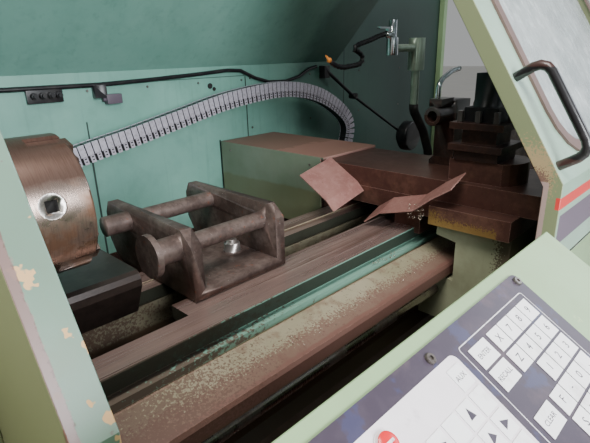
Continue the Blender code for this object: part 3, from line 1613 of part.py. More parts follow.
def make_cover_box(look, saddle):
    """Sheet cover over the cross slide's drive, open below and at the front."""
    t = cover_box_sheet
    left = saddle_left - t - slide_gap
    right = slide_right + cover_lip
    mesh = bmesh.new()
    add_box(mesh, (left, cover_box_front, cover_box_bottom), (right, cover_box_back, cover_box_top + t))
    cover = finish("slide_cover", mesh, look["olive"], (left, cover_box_front, cover_box_bottom), False, saddle)
    inside = bmesh.new()
    add_box(inside, (left + t, cover_box_front - overrun, cover_box_bottom - overrun),
            (right - t, cover_box_back - t, cover_box_top))
    cut(cover, inside)
    lid = bmesh.new()
    low = cover_box_top + t - lid_lip_height
    front = cover_box_front - lid_overhang
    add_prism(lid, [(front, low), (front + t, low), (front + t, cover_box_top),
                    (cover_box_front + t, cover_box_top), (cover_box_front + t, cover_box_top + t),
                    (front, cover_box_top + t)], left, right)
    unite(cover, lid)
    return cover


def make_cross_slide(look, middle):
    """Cross slide with its dovetail groove."""
    low = joint_z + saddle_top_gap
    half = dovetail_width / 2 + running_gap
    splay = dovetail_splay
    groove_top = low + dovetail_height + running_gap
    left = saddle_left
    right = slide_right
    mesh = bmesh.new()
    add_prism(mesh, [
        (left, low), (middle - half, low), (middle - half - splay, groove_top),
        (middle + half + splay, groove_top), (middle + half, low), (right, low), (right, slide_top),
        (left, slide_top),
    ], slide_front, slide_back, "Y")
    slide = finish("cross_slide", mesh, look["brown"], (middle, slide_front, low))
    nut = bmesh.new()
    neck = x_screw_radius * 0.8
    add_box(nut, (middle - neck, x_nut_front, x_screw_z), (middle + neck, x_nut_front + x_nut_length, groove_top + overrun))
    unite(slide, nut)
    ring = bmesh.new()
    add_turned(ring, [(x_nut_front, 0.0), (x_nut_front, x_screw_radius * 1.8),
                      (x_nut_front + x_nut_length, x_screw_radius * 1.8), (x_nut_front + x_nut_length, 0.0)],
               (middle, 0.0, x_screw_z), "Y", small_steps)
    unite(slide, ring)
    bore = bmesh.new()
    r = x_screw_radius + running_gap
    add_turned(bore, [(x_nut_front - overrun, 0.0), (x_nut_front - overrun, r),
                      (x_nut_front + x_nut_length + overrun, r), (x_nut_front + x_nut_length + overrun, 0.0)],
               (middle, 0.0, x_screw_z), "Y", small_steps)
    cut(slide, bore)
    return slide


def make_tool_post(look, slide):
    """Four way tool post: base, block with a slot round it, clamp bolts and the index unit's cap."""
    middle_y = post_front + post_size / 2
    middle_x = post_left + post_size / 2
    low = slide_top - overrun
    left = post_base_left
    right = left + post_size
    base_top = slide_top + post_base_height
    half = post_size / 2
    bend = (half * half + post_nose * post_nose) / (2 * post_nose)
    sweep = math.degrees(math.asin(half / bend))
    nose = arc(left + half, post_front + bend - post_nose, bend, 270 - sweep, 270 + sweep, post_nose_steps)
    mesh = bmesh.new()
    add_prism(mesh, [(left, post_front + post_size)] + nose + [(right, post_front + post_size)], low, base_top, "Z")
    unite(slide, mesh)
    core = post_core / 2
    neck = core + (half - core) * 0.5
    z0 = base_top + seat_gap
    z1 = z0 + post_neck
    z2 = z1 + post_plate
    z3 = z2 + post_slot
    z4 = z3 + post_plate
    mesh = bmesh.new()
    add_square_stack(mesh, middle_x, middle_y,
                     [(z0, neck), (z1, neck), (z1, half), (z2, half), (z2, core), (z3, core), (z3, half), (z4, half)])
    block = finish("tool_block", mesh, look["brown"], (middle_x, middle_y, z0))
    bolts = bmesh.new()
    bolt = tool_bolt_size / 2
    edge = half - tool_bolt_size
    for i in range(tool_bolt_count):
        shift = -half + post_size * (i + 0.5) / tool_bolt_count
        for x, y in ((middle_x - edge, middle_y + shift), (middle_x + edge, middle_y - shift)):
            add_box(bolts, (x - bolt, y - bolt, z3 + post_plate / 2), (x + bolt, y + bolt, z4 + tool_bolt_height))
    for x, y in ((middle_x, middle_y - edge), (middle_x, middle_y + edge)):
        add_box(bolts, (x - bolt, y - bolt, z3 + post_plate / 2), (x + bolt, y + bolt, z4 + tool_bolt_height))
    unite(block, bolts)
    mesh = bmesh.new()
    cap = cap_size / 2
    top = cap_top_size / 2
    z5 = z4 + cap_height
    add_square_stack(mesh, middle_x, middle_y, [(z4 + seat_gap, cap), (z5, cap), (z5, top), (z5 + cap_top_height, top)])
    finish("index_cap", mesh, look["black"], (middle_x, middle_y, z4), False, block)
    return block


def add_square_stack(mesh, x, y, steps):
    """Square column whose half width changes with height."""
    rings = []
    for z, half in steps:
        rings.append([mesh.verts.new(Vector((x + a * half, y + b * half, z)))
                      for a, b in ((-1, -1), (1, -1), (1, 1), (-1, 1))])
    faces = [mesh.faces.new(rings[0]), mesh.faces.new(rings[-1])]
    for one, two in zip(rings, rings[1:]):
        for i in range(4):
            j = (i + 1) % 4
            faces.append(mesh.faces.new((one[i], one[j], two[j], two[i])))
    bmesh.ops.recalc_face_normals(mesh, faces=faces)


def make_boring_holder(look, slide):
    """Holder for a boring bar behind the tool post: block, sleeve, top bar and coolant tube."""
    low = slide_top + seat_gap
    axis_z = slide_top + sleeve_rise
    block_top = axis_z + sleeve_radius + holder_wall
    mesh = bmesh.new()
    y0 = holder_y - holder_width / 2
    y1 = holder_y + holder_width / 2
    add_prism(mesh, [(y0, low), (y1, low), (y1, low + holder_wall), (y1 - holder_wall, low + 2 * holder_wall),
                     (y1 - holder_wall, block_top), (y0 + holder_wall, block_top),
                     (y0 + holder_wall, low + 2 * holder_wall), (y0, low + holder_wall)],
              holder_left, holder_left + holder_length)
    block = finish("bar_holder", mesh, look["dark"], (holder_left, holder_y, low), True, slide)
    end = sleeve_left + sleeve_length
    sleeve = bmesh.new()
    add_turned(sleeve, [(sleeve_left, 0), (sleeve_left, sleeve_radius * 0.9),
                        (sleeve_left + sleeve_radius * 0.1, sleeve_radius), (end, sleeve_radius), (end, 0)],
               (0, holder_y, axis_z))
    unite(block, sleeve)
    bar_low = axis_z + sleeve_radius - seat_gap
    half = coolant_bar_width / 2
    bar = bmesh.new()
    add_box(bar, (coolant_bar_left, holder_y - half, bar_low),
            (holder_left + overrun, holder_y + half, bar_low + coolant_bar_height))
    unite(block, bar)
    bore = bmesh.new()
    add_turned(bore, [(sleeve_left - overrun, 0), (sleeve_left - overrun, sleeve_bore), (end + overrun, sleeve_bore),
                      (end + overrun, 0)], (0, holder_y, axis_z))
    cut(block, bore)
    mesh = bmesh.new()
    x = coolant_bar_left + coolant_bar_width / 3
    z = bar_low + coolant_bar_height + seat_gap
    rise = 2 * coolant_bar_height
    bend = coolant_bar_height
    start = (x, holder_y, z)
    route = [start, (x, holder_y, z + rise * 0.7), (x + bend * 0.25, holder_y, z + rise),
             (x + bend, holder_y, z + rise + bend * 0.6),
             (x + 3.6 * bend, holder_y, z + rise + 1.5 * bend), (x + 5.6 * bend, holder_y, z + rise + 1.75 * bend)]
    add_tube(mesh, route, coolant_tube_radius, 12)
    finish("coolant_tube", mesh, look["chrome"], start, True, slide)
    return block


def make_coolant_stand(look, saddle):
    """Coolant stand on the saddle's rear wing: pipe, sleeve with branch, valve and articulated hose."""
    low = way_top + 2 * seat_gap + saddle_wing_height / 2
    mesh = bmesh.new()
    add_turned(mesh, [(stand_pipe_bottom, 0), (stand_pipe_bottom, stand_pipe_radius),
                      (stand_sleeve_bottom, stand_pipe_radius), (stand_sleeve_bottom, stand_sleeve_radius),
                      (stand_sleeve_top, stand_sleeve_radius), (stand_sleeve_top, 0)],
               (stand_x, stand_y, 0), "Z", 24)
    stand = finish("coolant_stand", mesh, look["green"], (stand_x, stand_y, stand_pipe_bottom), True, saddle)
    mesh = bmesh.new()
    add_tube(mesh, [(stand_x, stand_y, stand_pipe_bottom - seat_gap),
                    (stand_x, stand_y, stand_pipe_bottom - stand_pipe_radius),
                    (stand_x + stand_pipe_radius / 2, stand_y, stand_pipe_bottom - 2 * stand_pipe_radius),
                    (stand_bend_x, stand_y, stand_bend_z), (stand_foot_x - stand_pipe_radius / 2, stand_y,
                                                           low + 3 * stand_pipe_radius),
                    (stand_foot_x, stand_y, low + stand_pipe_radius), (stand_foot_x, stand_y, low)],
             stand_foot_radius * 0.9, 12)
    finish("stand_pipe", mesh, look["rubber"], (stand_foot_x, stand_y, low), True, saddle)
    branch = bmesh.new()
    end = valve_x + valve_radius + seat_gap
    add_turned(branch, [(end, 0), (end, branch_radius), (stand_x, branch_radius), (stand_x, 0)],
               (0, stand_y, branch_z), "X", small_steps)
    unite(stand, branch)
    mesh = bmesh.new()
    r = valve_radius
    mid = (valve_bottom + valve_top) / 2
    add_turned(mesh, [(valve_bottom, 0), (valve_bottom, r), (mid, r), (mid, r * 0.7), (valve_top, r * 0.7),
                      (valve_top, 0)], (valve_x, stand_y, 0), "Z", small_steps)
    valve = finish("coolant_valve", mesh, look["chrome"], (valve_x, stand_y, mid), True, saddle)
    side = bmesh.new()
    side_end = valve_x - 2 * r
    add_turned(side, [(side_end, 0), (side_end, valve_side_radius), (valve_x, valve_side_radius), (valve_x, 0)],
               (0, stand_y, mid + r / 2), "X", small_steps)
    unite(valve, side)
    mesh = bmesh.new()
    lever_z = mid + r / 2 + valve_side_radius + seat_gap
    lever_x = side_end + valve_side_radius
    w = valve_side_radius / 2
    add_box(mesh, (lever_x - valve_lever_length, stand_y - w, lever_z + w), (lever_x + w, stand_y + w, lever_z + 2 * w))
    lever = finish("valve_lever", mesh, look["red"], (lever_x, stand_y, lever_z), False, valve)
    post = bmesh.new()
    add_box(post, (lever_x - w, stand_y - w, lever_z), (lever_x + w, stand_y + w, lever_z + 1.5 * w))
    unite(lever, post)
    make_ball_hose(look, side_end - seat_gap, mid + r / 2, saddle)
    return stand


def make_ball_hose(look, start_x, start_z, saddle):
    """Articulated hose: a string of ball links that curls down to its nozzle."""
    y = stand_y
    route = [(start_x + hose_reach * a, start_z + hose_reach * b) for a, b in hose_route_shares]
    points = resample([Vector(p) for p in route], hose_pitch)
    mesh = bmesh.new()
    add_link_chain(mesh, points, y)
    hose = finish("ball_hose", mesh, look["black"], (start_x, y, start_z), True, saddle)
    end = Vector((points[-1][0], y, points[-1][1]))
    before = Vector((points[-2][0], y, points[-2][1]))
    ahead = (end - before).normalized()
    tip = end + ahead * hose_ball_radius * 1.2
    mesh = bmesh.new()
    add_cone(mesh, tip, Vector((-0.75, 0.0, 0.66)).normalized(), hose_ball_radius, hose_neck_radius * 0.5,
             2.8 * hose_ball_radius)
    nozzle = finish("hose_nozzle", mesh, look["orange"], tip, True, saddle)
    return hose, nozzle


def resample(route, pitch):
    """Points a fixed pitch apart along a route."""
    points = [route[0].copy()]
    need = pitch
    for one, two in zip(route, route[1:]):
        span = (two - one).length
        at = 0.0
        while span - at >= need:
            at += need
            points.append(one.lerp(two, at / span))
            need = pitch
        need -= span - at
    return points


def add_link_chain(mesh, points, y):
    """Beaded bar whose radius swells at each link, in a plane of constant y."""
    path = [Vector((x, y, z)) for x, z in points]
    stations = [(path[0], hose_neck_radius)]
    for one, two in zip(path[1:], path[2:]):
        stations.append((one, hose_ball_radius))
        stations.append(((one + two) / 2, hose_neck_radius))
    stations.append((path[-1], hose_ball_radius))
    end = path[-1] + (path[-1] - path[-2]).normalized() * hose_ball_radius
    stations.append((end, hose_neck_radius))
    rings = []
    steps = 8
    for i, (here, radius) in enumerate(stations):
        before = stations[max(i - 1, 0)][0]
        after = stations[min(i + 1, len(stations) - 1)][0]
        ahead = (after - before).normalized()
        side = Vector((0, 1, 0))
        up = ahead.cross(side).normalized()
        rings.append([mesh.verts.new(here + side * radius * math.cos(2 * math.pi * k / steps)
                                     + up * radius * math.sin(2 * math.pi * k / steps)) for k in range(steps)])
    faces = [mesh.faces.new(rings[0]), mesh.faces.new(rings[-1])]
    for one, two in zip(rings, rings[1:]):
        for k in range(steps):
            j = (k + 1) % steps
            faces.append(mesh.faces.new((one[k], one[j], two[j], two[k])))
    bmesh.ops.recalc_face_normals(mesh, faces=faces)


def add_cone(mesh, start, ahead, start_radius, end_radius, length):
    """Tapered round bar from a point along a direction."""
    side = ahead.cross(Vector((0, 1, 0))).normalized()
    up = ahead.cross(side)
    steps = 12
    rings = []
    for t, radius in ((0, start_radius * 0.7), (0.25, start_radius), (0.4, end_radius * 1.5), (1, end_radius)):
        here = start + ahead * length * t
        rings.append([mesh.verts.new(here + side * radius * math.cos(2 * math.pi * k / steps)
                                     + up * radius * math.sin(2 * math.pi * k / steps)) for k in range(steps)])
    faces = [mesh.faces.new(rings[0]), mesh.faces.new(rings[-1])]
    for one, two in zip(rings, rings[1:]):
        for k in range(steps):
            j = (k + 1) % steps
            faces.append(mesh.faces.new((one[k], one[j], two[j], two[k])))
    bmesh.ops.recalc_face_normals(mesh, faces=faces)


def make_tailstock(look):
    """Tailstock on the inner ways: body, quill and handwheel with its screw."""
    low = way_top - inner_way_drop + seat_gap
    axis = (0.0, spindle_y, spindle_z)
    right = tail_left + tail_length
    half = tail_body_width / 2
    barrel = quill_radius * 2.1
    shoulder = low + tail_base_height
    mesh = bmesh.new()
    top = arc(spindle_y, spindle_z, barrel, -20, 200, 14)
    add_prism(mesh, [(front_way_back + seat_gap, low), (inner_way_back + slide_gap, low),
                     (inner_way_back + slide_gap, low - tail_tongue),
                     (rear_inner_front - slide_gap, low - tail_tongue), (rear_inner_front - slide_gap, low),
                     (rear_way_front - seat_gap, low), (rear_way_front - seat_gap, way_top + seat_gap * 2),
                     (spindle_y + half, way_top + seat_gap * 2), (spindle_y + half, shoulder)] + top +
              [(spindle_y - half, shoulder), (spindle_y - half, way_top + seat_gap * 2),
               (front_way_back + seat_gap, way_top + seat_gap * 2)], tail_left, right)
    body = finish("tailstock", mesh, look["dark"], (tail_left, spindle_y, low))
    bore = bmesh.new()
    r = quill_radius + running_gap
    end = right - tail_cap
    screw = quill_bore * 0.75
    add_turned(bore, [(tail_left - overrun, 0), (tail_left - overrun, r), (end, r), (end, screw + running_gap),
                      (right + overrun, screw + running_gap), (right + overrun, 0)], axis)
    cut(body, bore)
    nose = tail_left - quill_stand
    mesh = bmesh.new()
    add_turned(mesh, [(nose, quill_bore), (nose, quill_radius * 0.85), (nose + quill_radius * 0.15, quill_radius),
                      (nose + quill_length, quill_radius), (nose + quill_length, quill_bore)], axis, hollow=True)
    finish("quill", mesh, look["steel"], (nose, spindle_y, spindle_z), True, body)
    hub = quill_radius * 0.8
    wheel_x = right + seat_gap
    middle = wheel_x + hub
    mesh = bmesh.new()
    add_turned(mesh, [(tail_left + quill_length * 0.3, 0), (tail_left + quill_length * 0.3, screw), (wheel_x, screw),
                      (wheel_x, hub), (middle + hub, hub), (middle + hub, 0)], axis, "X", 24)
    wheel = finish("quill_handwheel", mesh, look["steel"], (wheel_x, spindle_y, spindle_z), True, body)
    rim = bmesh.new()
    add_turned(rim, [(middle + wheel_rim * math.cos(math.radians(a)), wheel_radius + wheel_rim * math.sin(math.radians(a)))
                     for a in range(0, 360, 45)], axis, hollow=True)
    unite(wheel, rim)
    for i in range(3):
        spoke = bmesh.new()
        out = Vector((0, math.cos(math.radians(120 * i + 90)), math.sin(math.radians(120 * i + 90))))
        start = Vector((middle, spindle_y, spindle_z))
        add_tube(spoke, [start + out * hub * 0.5, start + out * wheel_radius], wheel_rim * 0.7, 8)
        unite(wheel, spoke)
    return body


def make_screws(look, middle, saddle):
    """Ball screws of the carriage and of the cross slide with their bearings and motors."""
    start = wall_right + bearing_block_length / 2
    axis = (0.0, z_screw_y, z_screw_z)
    end = bed_right + z_motor_plate / 2
    mesh = bmesh.new()
    add_turned(mesh, [(start, 0), (start, z_screw_radius), (end, z_screw_radius), (end, 0)], axis, "X", 24)
    finish("carriage_screw", mesh, look["steel"], (start, z_screw_y, z_screw_z), True)
    block_back = front_way_front - way_recess / 2 - seat_gap
    block_front = z_screw_y - bearing_block_width / 2
    half = bearing_block_height / 2
    plate = z_motor_size / 2 + bearing_block_length / 4
    low = z_screw_z - half
    bore = bmesh.new()
    r = z_screw_radius + running_gap
    add_turned(bore, [(start - overrun, 0), (start - overrun, r), (end + seat_gap, r), (end + seat_gap, 0)],
               axis, "X", 24)
    mesh = bmesh.new()
    add_box(mesh, (start + seat_gap, block_front, low), (start + bearing_block_length, block_back, z_screw_z + half))
    block = finish("screw_bearing", mesh, look["dark"])
    cut(block, bore)
    mesh = bmesh.new()
    add_box(mesh, (bed_right + seat_gap, z_screw_y - plate, z_screw_z - plate),
            (bed_right + z_motor_plate, block_back, z_screw_z + plate))
    drive = finish("carriage_motor", mesh, look["blue"])
    motor = bmesh.new()
    size = z_motor_size / 2
    add_box(motor, (bed_right + z_motor_plate / 2, z_screw_y - size, z_screw_z - size),
            (bed_right + z_motor_plate + z_motor_length, z_screw_y + size, z_screw_z + size))
    unite(drive, motor)
    bore = bmesh.new()
    r = z_screw_radius + running_gap
    add_turned(bore, [(start - overrun, 0), (start - overrun, r), (end + seat_gap, r), (end + seat_gap, 0)],
               axis, "X", 24)
    cut(drive, bore)
    axis = (middle, 0.0, x_screw_z)
    front = saddle_front + overrun + slide_gap
    mesh = bmesh.new()
    add_turned(mesh, [(front, 0), (front, x_screw_radius), (x_motor_front - seat_gap, x_screw_radius),
                      (x_motor_front - seat_gap, 0)], axis, "Y", small_steps)
    finish("slide_screw", mesh, look["steel"], (middle, front, x_screw_z), True, saddle)
    size = x_screw_z - joint_z + tail_drop
    mesh = bmesh.new()
    add_box(mesh, (middle - size, x_motor_front, x_screw_z - size - sheet),
            (middle + size, x_motor_front + x_motor_length, x_screw_z + size))
    unite(saddle, mesh)


def conduit_path():
    """Middle line of the cable conduit in its plane: an arch from the wall that folds back under the carriage."""
    route = [Vector((wall_right + seat_gap + conduit_width * x, conduit_low + conduit_width * z))
             for x, z in conduit_route_shares]
    smooth = []
    for i in range(len(route) - 1):
        p0 = route[max(i - 1, 0)]
        p1 = route[i]
        p2 = route[i + 1]
        p3 = route[min(i + 2, len(route) - 1)]
        for k in range(6):
            t = k / 6
            smooth.append(0.5 * (2 * p1 + (p2 - p0) * t + (2 * p0 - 5 * p1 + 4 * p2 - p3) * t * t
                                 + (3 * p1 - p0 - 3 * p2 + p3) * t * t * t))
    smooth.append(route[-1])
    return resample(smooth, conduit_pitch)


def make_conduit(look):
    """Segmented flat cable conduit: each link is a ridge with a groove after it."""
    path = conduit_path()
    rings = []
    mesh = bmesh.new()
    for i in range(len(path) - 1):
        one, two = path[i], path[i + 1]
        before = path[max(i - 1, 0)]
        along0 = (two - before).normalized() if i else Vector((1.0, 0.0))
        link = (two - one).normalized()
        for share, size in ((0.0, 1.0), (0.72, 1.0), (0.76, 0.86), (0.96, 0.86)):
            here = one.lerp(two, share)
            along = along0.lerp(link, min(2 * share, 1.0)).normalized()
            across = Vector((-along.y, along.x))
            half = conduit_width / 2 * size
            deep = conduit_depth / 2 * size
            corners = []
            for a, b in ((-1, -1), (1, -1), (1, 1), (-1, 1)):
                p = here + across * half * a
                corners.append(mesh.verts.new(Vector((p.x, conduit_y + deep * b, p.y))))
            rings.append(corners)
    faces = [mesh.faces.new(rings[0]), mesh.faces.new(rings[-1])]
    for one, two in zip(rings, rings[1:]):
        for k in range(4):
            j = (k + 1) % 4
            faces.append(mesh.faces.new((one[k], one[j], two[j], two[k])))
    bmesh.ops.recalc_face_normals(mesh, faces=faces)
    return finish("cable_conduit", mesh, look["chrome"])


def make_wall_conduit(look):
    """Thin conduit along the rear wall with its connector box and ties."""
    y = rear_wall_y - small_hose_radius - seat_gap * 2
    start = wall_right + seat_gap
    span = lamp_mount_x - start
    mesh = bmesh.new()
    points = [(start + span * a, y, wall_conduit_z + span * b) for a, b in wall_conduit_shares]
    add_tube(mesh, points, small_hose_radius, 12)
    box_x = start + span * wall_conduit_shares[2][0]
    conduit = finish("wall_conduit", mesh, look["dark"], (start, y, wall_conduit_z), True)
    box = bmesh.new()
    w = clip_width * 1.6
    add_box(box, (box_x - w, y - 2 * small_hose_radius, wall_conduit_z - w),
            (box_x + w, rear_wall_y - seat_gap, wall_conduit_z + w))
    unite(conduit, box)
    return conduit


def make_lamp(look):
    """Work lamp: wall bracket, jointed arm and round head."""
    back = rear_wall_y - seat_gap
    mount = (lamp_mount_x, back - lamp_arm_radius * 3, hood_fold_z - lamp_bracket_drop)
    elbow = (lamp_x - lamp_arm_reach * 1.12, back - lamp_arm_reach * 0.23, lamp_z + lamp_arm_reach * 0.78)
    head = Vector((lamp_x, lamp_y, lamp_z))
    knee = Vector(elbow)
    mesh = bmesh.new()
    w = lamp_arm_radius * 2.2
    add_box(mesh, (mount[0] - w, mount[1] - w / 2, mount[2] - 2 * w), (mount[0] + w, back, mount[2] + w))
    arm = finish("work_lamp", mesh, look["black"], mount, True)
    rods = bmesh.new()
    add_tube(rods, [mount, elbow], lamp_arm_radius, 12)
    unite(arm, rods)
    rods = bmesh.new()
    ahead = (head - knee).normalized()
    add_tube(rods, [knee - ahead * lamp_arm_radius, head], lamp_arm_radius * 0.8, 12)
    unite(arm, rods)
    knuckle = bmesh.new()
    add_turned(knuckle, [(elbow[1] - w, 0), (elbow[1] - w, w * 0.8), (elbow[1] + w, w * 0.8), (elbow[1] + w, 0)],
               (elbow[0], 0, elbow[2]), "Y", small_steps)
    unite(arm, knuckle)
    dome = bmesh.new()
    r = lamp_radius
    add_turned(dome, [(lamp_y - lamp_depth * 0.55, 0), (lamp_y - lamp_depth * 0.55, r * 0.92), (lamp_y - lamp_depth * 0.45, r),
                      (lamp_y, r), (lamp_y + lamp_depth * 0.3, r * 0.6), (lamp_y + lamp_depth * 0.45, r * 0.25),
                      (lamp_y + lamp_depth * 0.45, 0)], (lamp_x, 0, lamp_z), "Y", 24)
    unite(arm, dome)
    return arm


def make_cabinet(look):
    """Electrical cabinet behind the headstock cover, open at the back, and its hinged door."""
    front = cover_front + cover_depth + seat_gap
    left = -half_length
    right = wall_left - seat_gap
    door_back = half_depth
    door_front = door_back - cabinet_door_thickness
    back = door_front - seat_gap
    top = cabinet_bottom + cabinet_height
    t = cabinet_skin
    mesh = bmesh.new()
    add_box(mesh, (left, front, cabinet_bottom), (right, back, top))
    cabinet = finish("electrical_cabinet", mesh, look["grey"])
    pocket = bmesh.new()
    add_box(pocket, (left + t, front + t, cabinet_bottom + t), (right - t, back + overrun, top - t))
    cut(cabinet, pocket)
    r = cabinet_hinge_radius
    hinge = (right - r, door_back - r, cabinet_bottom)
    mesh = bmesh.new()
    add_box(mesh, (left, door_front, cabinet_bottom), (right - 2 * r, door_back, top))
    door = finish("cabinet_door", mesh, look["grey"], hinge, True)
    barrel = bmesh.new()
    add_turned(barrel, [(cabinet_bottom, 0), (cabinet_bottom, r), (top, r), (top, 0)], (hinge[0], hinge[1], 0), "Z", 12)
    unite(door, barrel)
    web = bmesh.new()
    add_box(web, (right - 3 * r, door_back - 1.4 * r, cabinet_bottom), (right - r, door_back - 0.6 * r, top))
    unite(door, web)
    return cabinet, door


def build():
    for old in list(bpy.data.objects):
        bpy.data.objects.remove(old, do_unlink=True)
    look = looks()
    base, left, right = make_base(look)
    add_feet(base, left, right)
    web_front, web_back, rear_web_front = make_bed(look)
    make_headstock(look)
    spindle = make_spindle(look)
    make_chuck(look, spindle)
    make_drive(look)
    make_headstock_cover(look)
    make_left_wall(look, web_front)
    make_rear_wall(look)
    make_right_frame(look)
    make_rails(look)
    make_front_panel(look)
    make_trays(look)
    make_door(look)
    make_right_guard(look)
    make_console(look)
    make_bracket(look, web_back, rear_web_front)
    saddle, middle = make_saddle(look)
    make_apron(look, saddle)
    make_shields(look, saddle)
    make_cover_box(look, saddle)
    slide = make_cross_slide(look, middle)
    make_tool_post(look, slide)
    make_boring_holder(look, slide)
    make_coolant_stand(look, saddle)
    make_tailstock(look)
    make_screws(look, middle, saddle)
    make_conduit(look)
    make_wall_conduit(look)
    make_lamp(look)
    make_cabinet(look)


build()
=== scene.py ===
# %% [markdown]
# A flat bed turning lathe, seen from the operator's side of its open door.
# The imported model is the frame: every mechanical piece already stands where it belongs.
# This lesson dresses that frame with real finishes and with the small work that gives a machine its look.

import bpy
import bmesh
import json
import math
import random
from mathutils import Matrix, Vector

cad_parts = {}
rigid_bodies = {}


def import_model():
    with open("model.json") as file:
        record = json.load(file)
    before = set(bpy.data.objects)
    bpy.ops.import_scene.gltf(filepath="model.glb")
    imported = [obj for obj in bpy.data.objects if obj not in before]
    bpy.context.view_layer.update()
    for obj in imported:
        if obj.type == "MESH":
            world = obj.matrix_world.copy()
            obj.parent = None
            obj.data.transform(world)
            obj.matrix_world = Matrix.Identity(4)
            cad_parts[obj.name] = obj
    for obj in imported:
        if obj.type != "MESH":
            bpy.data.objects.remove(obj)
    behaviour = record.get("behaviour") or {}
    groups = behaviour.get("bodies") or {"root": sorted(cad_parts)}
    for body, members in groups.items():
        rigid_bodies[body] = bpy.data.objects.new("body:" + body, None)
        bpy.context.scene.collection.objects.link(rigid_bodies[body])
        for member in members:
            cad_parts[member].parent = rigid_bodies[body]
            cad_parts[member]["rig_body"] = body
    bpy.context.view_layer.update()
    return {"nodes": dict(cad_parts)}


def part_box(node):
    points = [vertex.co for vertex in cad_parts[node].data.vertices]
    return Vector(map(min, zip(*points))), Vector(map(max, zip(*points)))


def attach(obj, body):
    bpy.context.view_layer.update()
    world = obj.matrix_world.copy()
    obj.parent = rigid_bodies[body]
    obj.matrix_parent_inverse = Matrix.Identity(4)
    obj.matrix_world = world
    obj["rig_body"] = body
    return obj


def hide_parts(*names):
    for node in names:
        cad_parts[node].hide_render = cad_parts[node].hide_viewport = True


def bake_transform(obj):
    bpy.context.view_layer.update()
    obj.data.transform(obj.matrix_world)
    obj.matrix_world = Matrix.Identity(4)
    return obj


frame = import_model()
nodes = frame["nodes"]

# %% [markdown]
# A camera comes first, because everything else is judged through it.
# The photographer stood beside the console and looked over the bed towards the tailstock,
# so the camera hangs above the console, turned 45 degrees and tipped down by 19 degrees.
# The lens is worked out from the picture: 480 pixels of focal length for 590 pixels of width.

# %% Camera
VIEW_SPOT = (-1.025, -0.71, 1.366)
VIEW_TURN, VIEW_TIP, VIEW_ROLL = 45.21, 19.25, 1.55
FOCAL_PIXELS, PICTURE_PIXELS = 480.0, 590.0
SENSOR_WIDTH, NEAREST = 36.0, 0.02
camera_data = bpy.data.cameras.new("view")
camera = bpy.data.objects.new("view", camera_data)
bpy.context.scene.collection.objects.link(camera)
camera_data.sensor_width = SENSOR_WIDTH
camera_data.lens = SENSOR_WIDTH * FOCAL_PIXELS / PICTURE_PIXELS
camera_data.clip_start = NEAREST
turn, tip, roll = (math.radians(angle) for angle in (VIEW_TURN, VIEW_TIP, VIEW_ROLL))
ahead = Vector((math.sin(turn) * math.cos(tip), math.cos(turn) * math.cos(tip), -math.sin(tip)))
to_right = Vector((math.cos(turn), -math.sin(turn), 0.0))
down = ahead.cross(to_right)
right_axis = to_right * math.cos(roll) + down * math.sin(roll)
down_axis = -to_right * math.sin(roll) + down * math.cos(roll)
camera.matrix_world = (Matrix.Translation(VIEW_SPOT)
                       @ Matrix((right_axis, -down_axis, -ahead)).transposed().to_4x4())
bpy.context.scene.camera = camera
print("camera lens", round(camera_data.lens, 2), "mm")

# %% [markdown]
# A few small helpers serve the whole lesson.
# One turns a colour chip's hex code into the linear values that light is worked out in.
# One adds a node, sets it and links it. The others make an object, with its place in its vertices.

# %% Helpers


def linear(code):
    """Linear colour from an sRGB hex value."""
    parts = [int(code[i:i + 2], 16) / 255 for i in (1, 3, 5)]
    return tuple(c / 12.92 if c <= 0.04045 else ((c + 0.055) / 1.055) ** 2.4 for c in parts) + (1.0,)


def add(tree, kind, settings=None, links=None):
    """Adds one shader or geometry node, sets its sockets and properties, and links its inputs."""
    node = tree.nodes.new(kind)
    for key, value in (settings or {}).items():
        if not isinstance(key, int) and key not in node.inputs:
            setattr(node, key, value)
    for key, value in (settings or {}).items():
        if isinstance(key, int) or key in node.inputs:
            node.inputs[key].default_value = value
    for key, source in (links or {}).items():
        tree.links.new(source, node.inputs[key])
    return node


def put(name, data):
    """Object with this data, linked to the scene."""
    made = bpy.data.objects.new(name, data)
    bpy.context.scene.collection.objects.link(made)
    return made


def soften(data, angle):
    """Smooth shading, apart from edges sharper than the angle in degrees."""
    data.shade_smooth()
    data.set_sharp_from_angle(angle=math.radians(angle))


def from_bmesh(name, mesh, look):
    """Object at the origin from a bmesh, as its faces lie."""
    data = bpy.data.meshes.new(name)
    mesh.to_mesh(data)
    mesh.free()
    data.materials.append(look)
    return put(name, data)


def plain_mesh(name, mesh, look, smooth=None):
    """The same with its faces turned outward; smooth is the angle of a sharp edge."""
    bmesh.ops.recalc_face_normals(mesh, faces=mesh.faces)
    made = from_bmesh(name, mesh, look)
    if smooth:
        soften(made.data, smooth)
    return made


print("helpers ready")

# %% [markdown]
# Three soft lights make the studio.
# One hangs over the open top of the working bay, the strongest stands well out in front of the open door,
# and a weak one fills the right end, so that the bay darkens towards the tailstock as a real one does.

# %% Lights


def soft_light(name, spot, target, size, power, colour):
    """A round soft light at a spot, aimed at a target."""
    data = bpy.data.lights.new(name, "AREA")
    data.shape = "DISK"
    data.size = size
    data.energy = power
    data.color = linear(colour)[:3]
    lamp = put(name, data)
    aim = Vector(target) - Vector(spot)
    lamp.matrix_world = Matrix.Translation(spot) @ aim.to_track_quat("-Z", "Y").to_matrix().to_4x4()


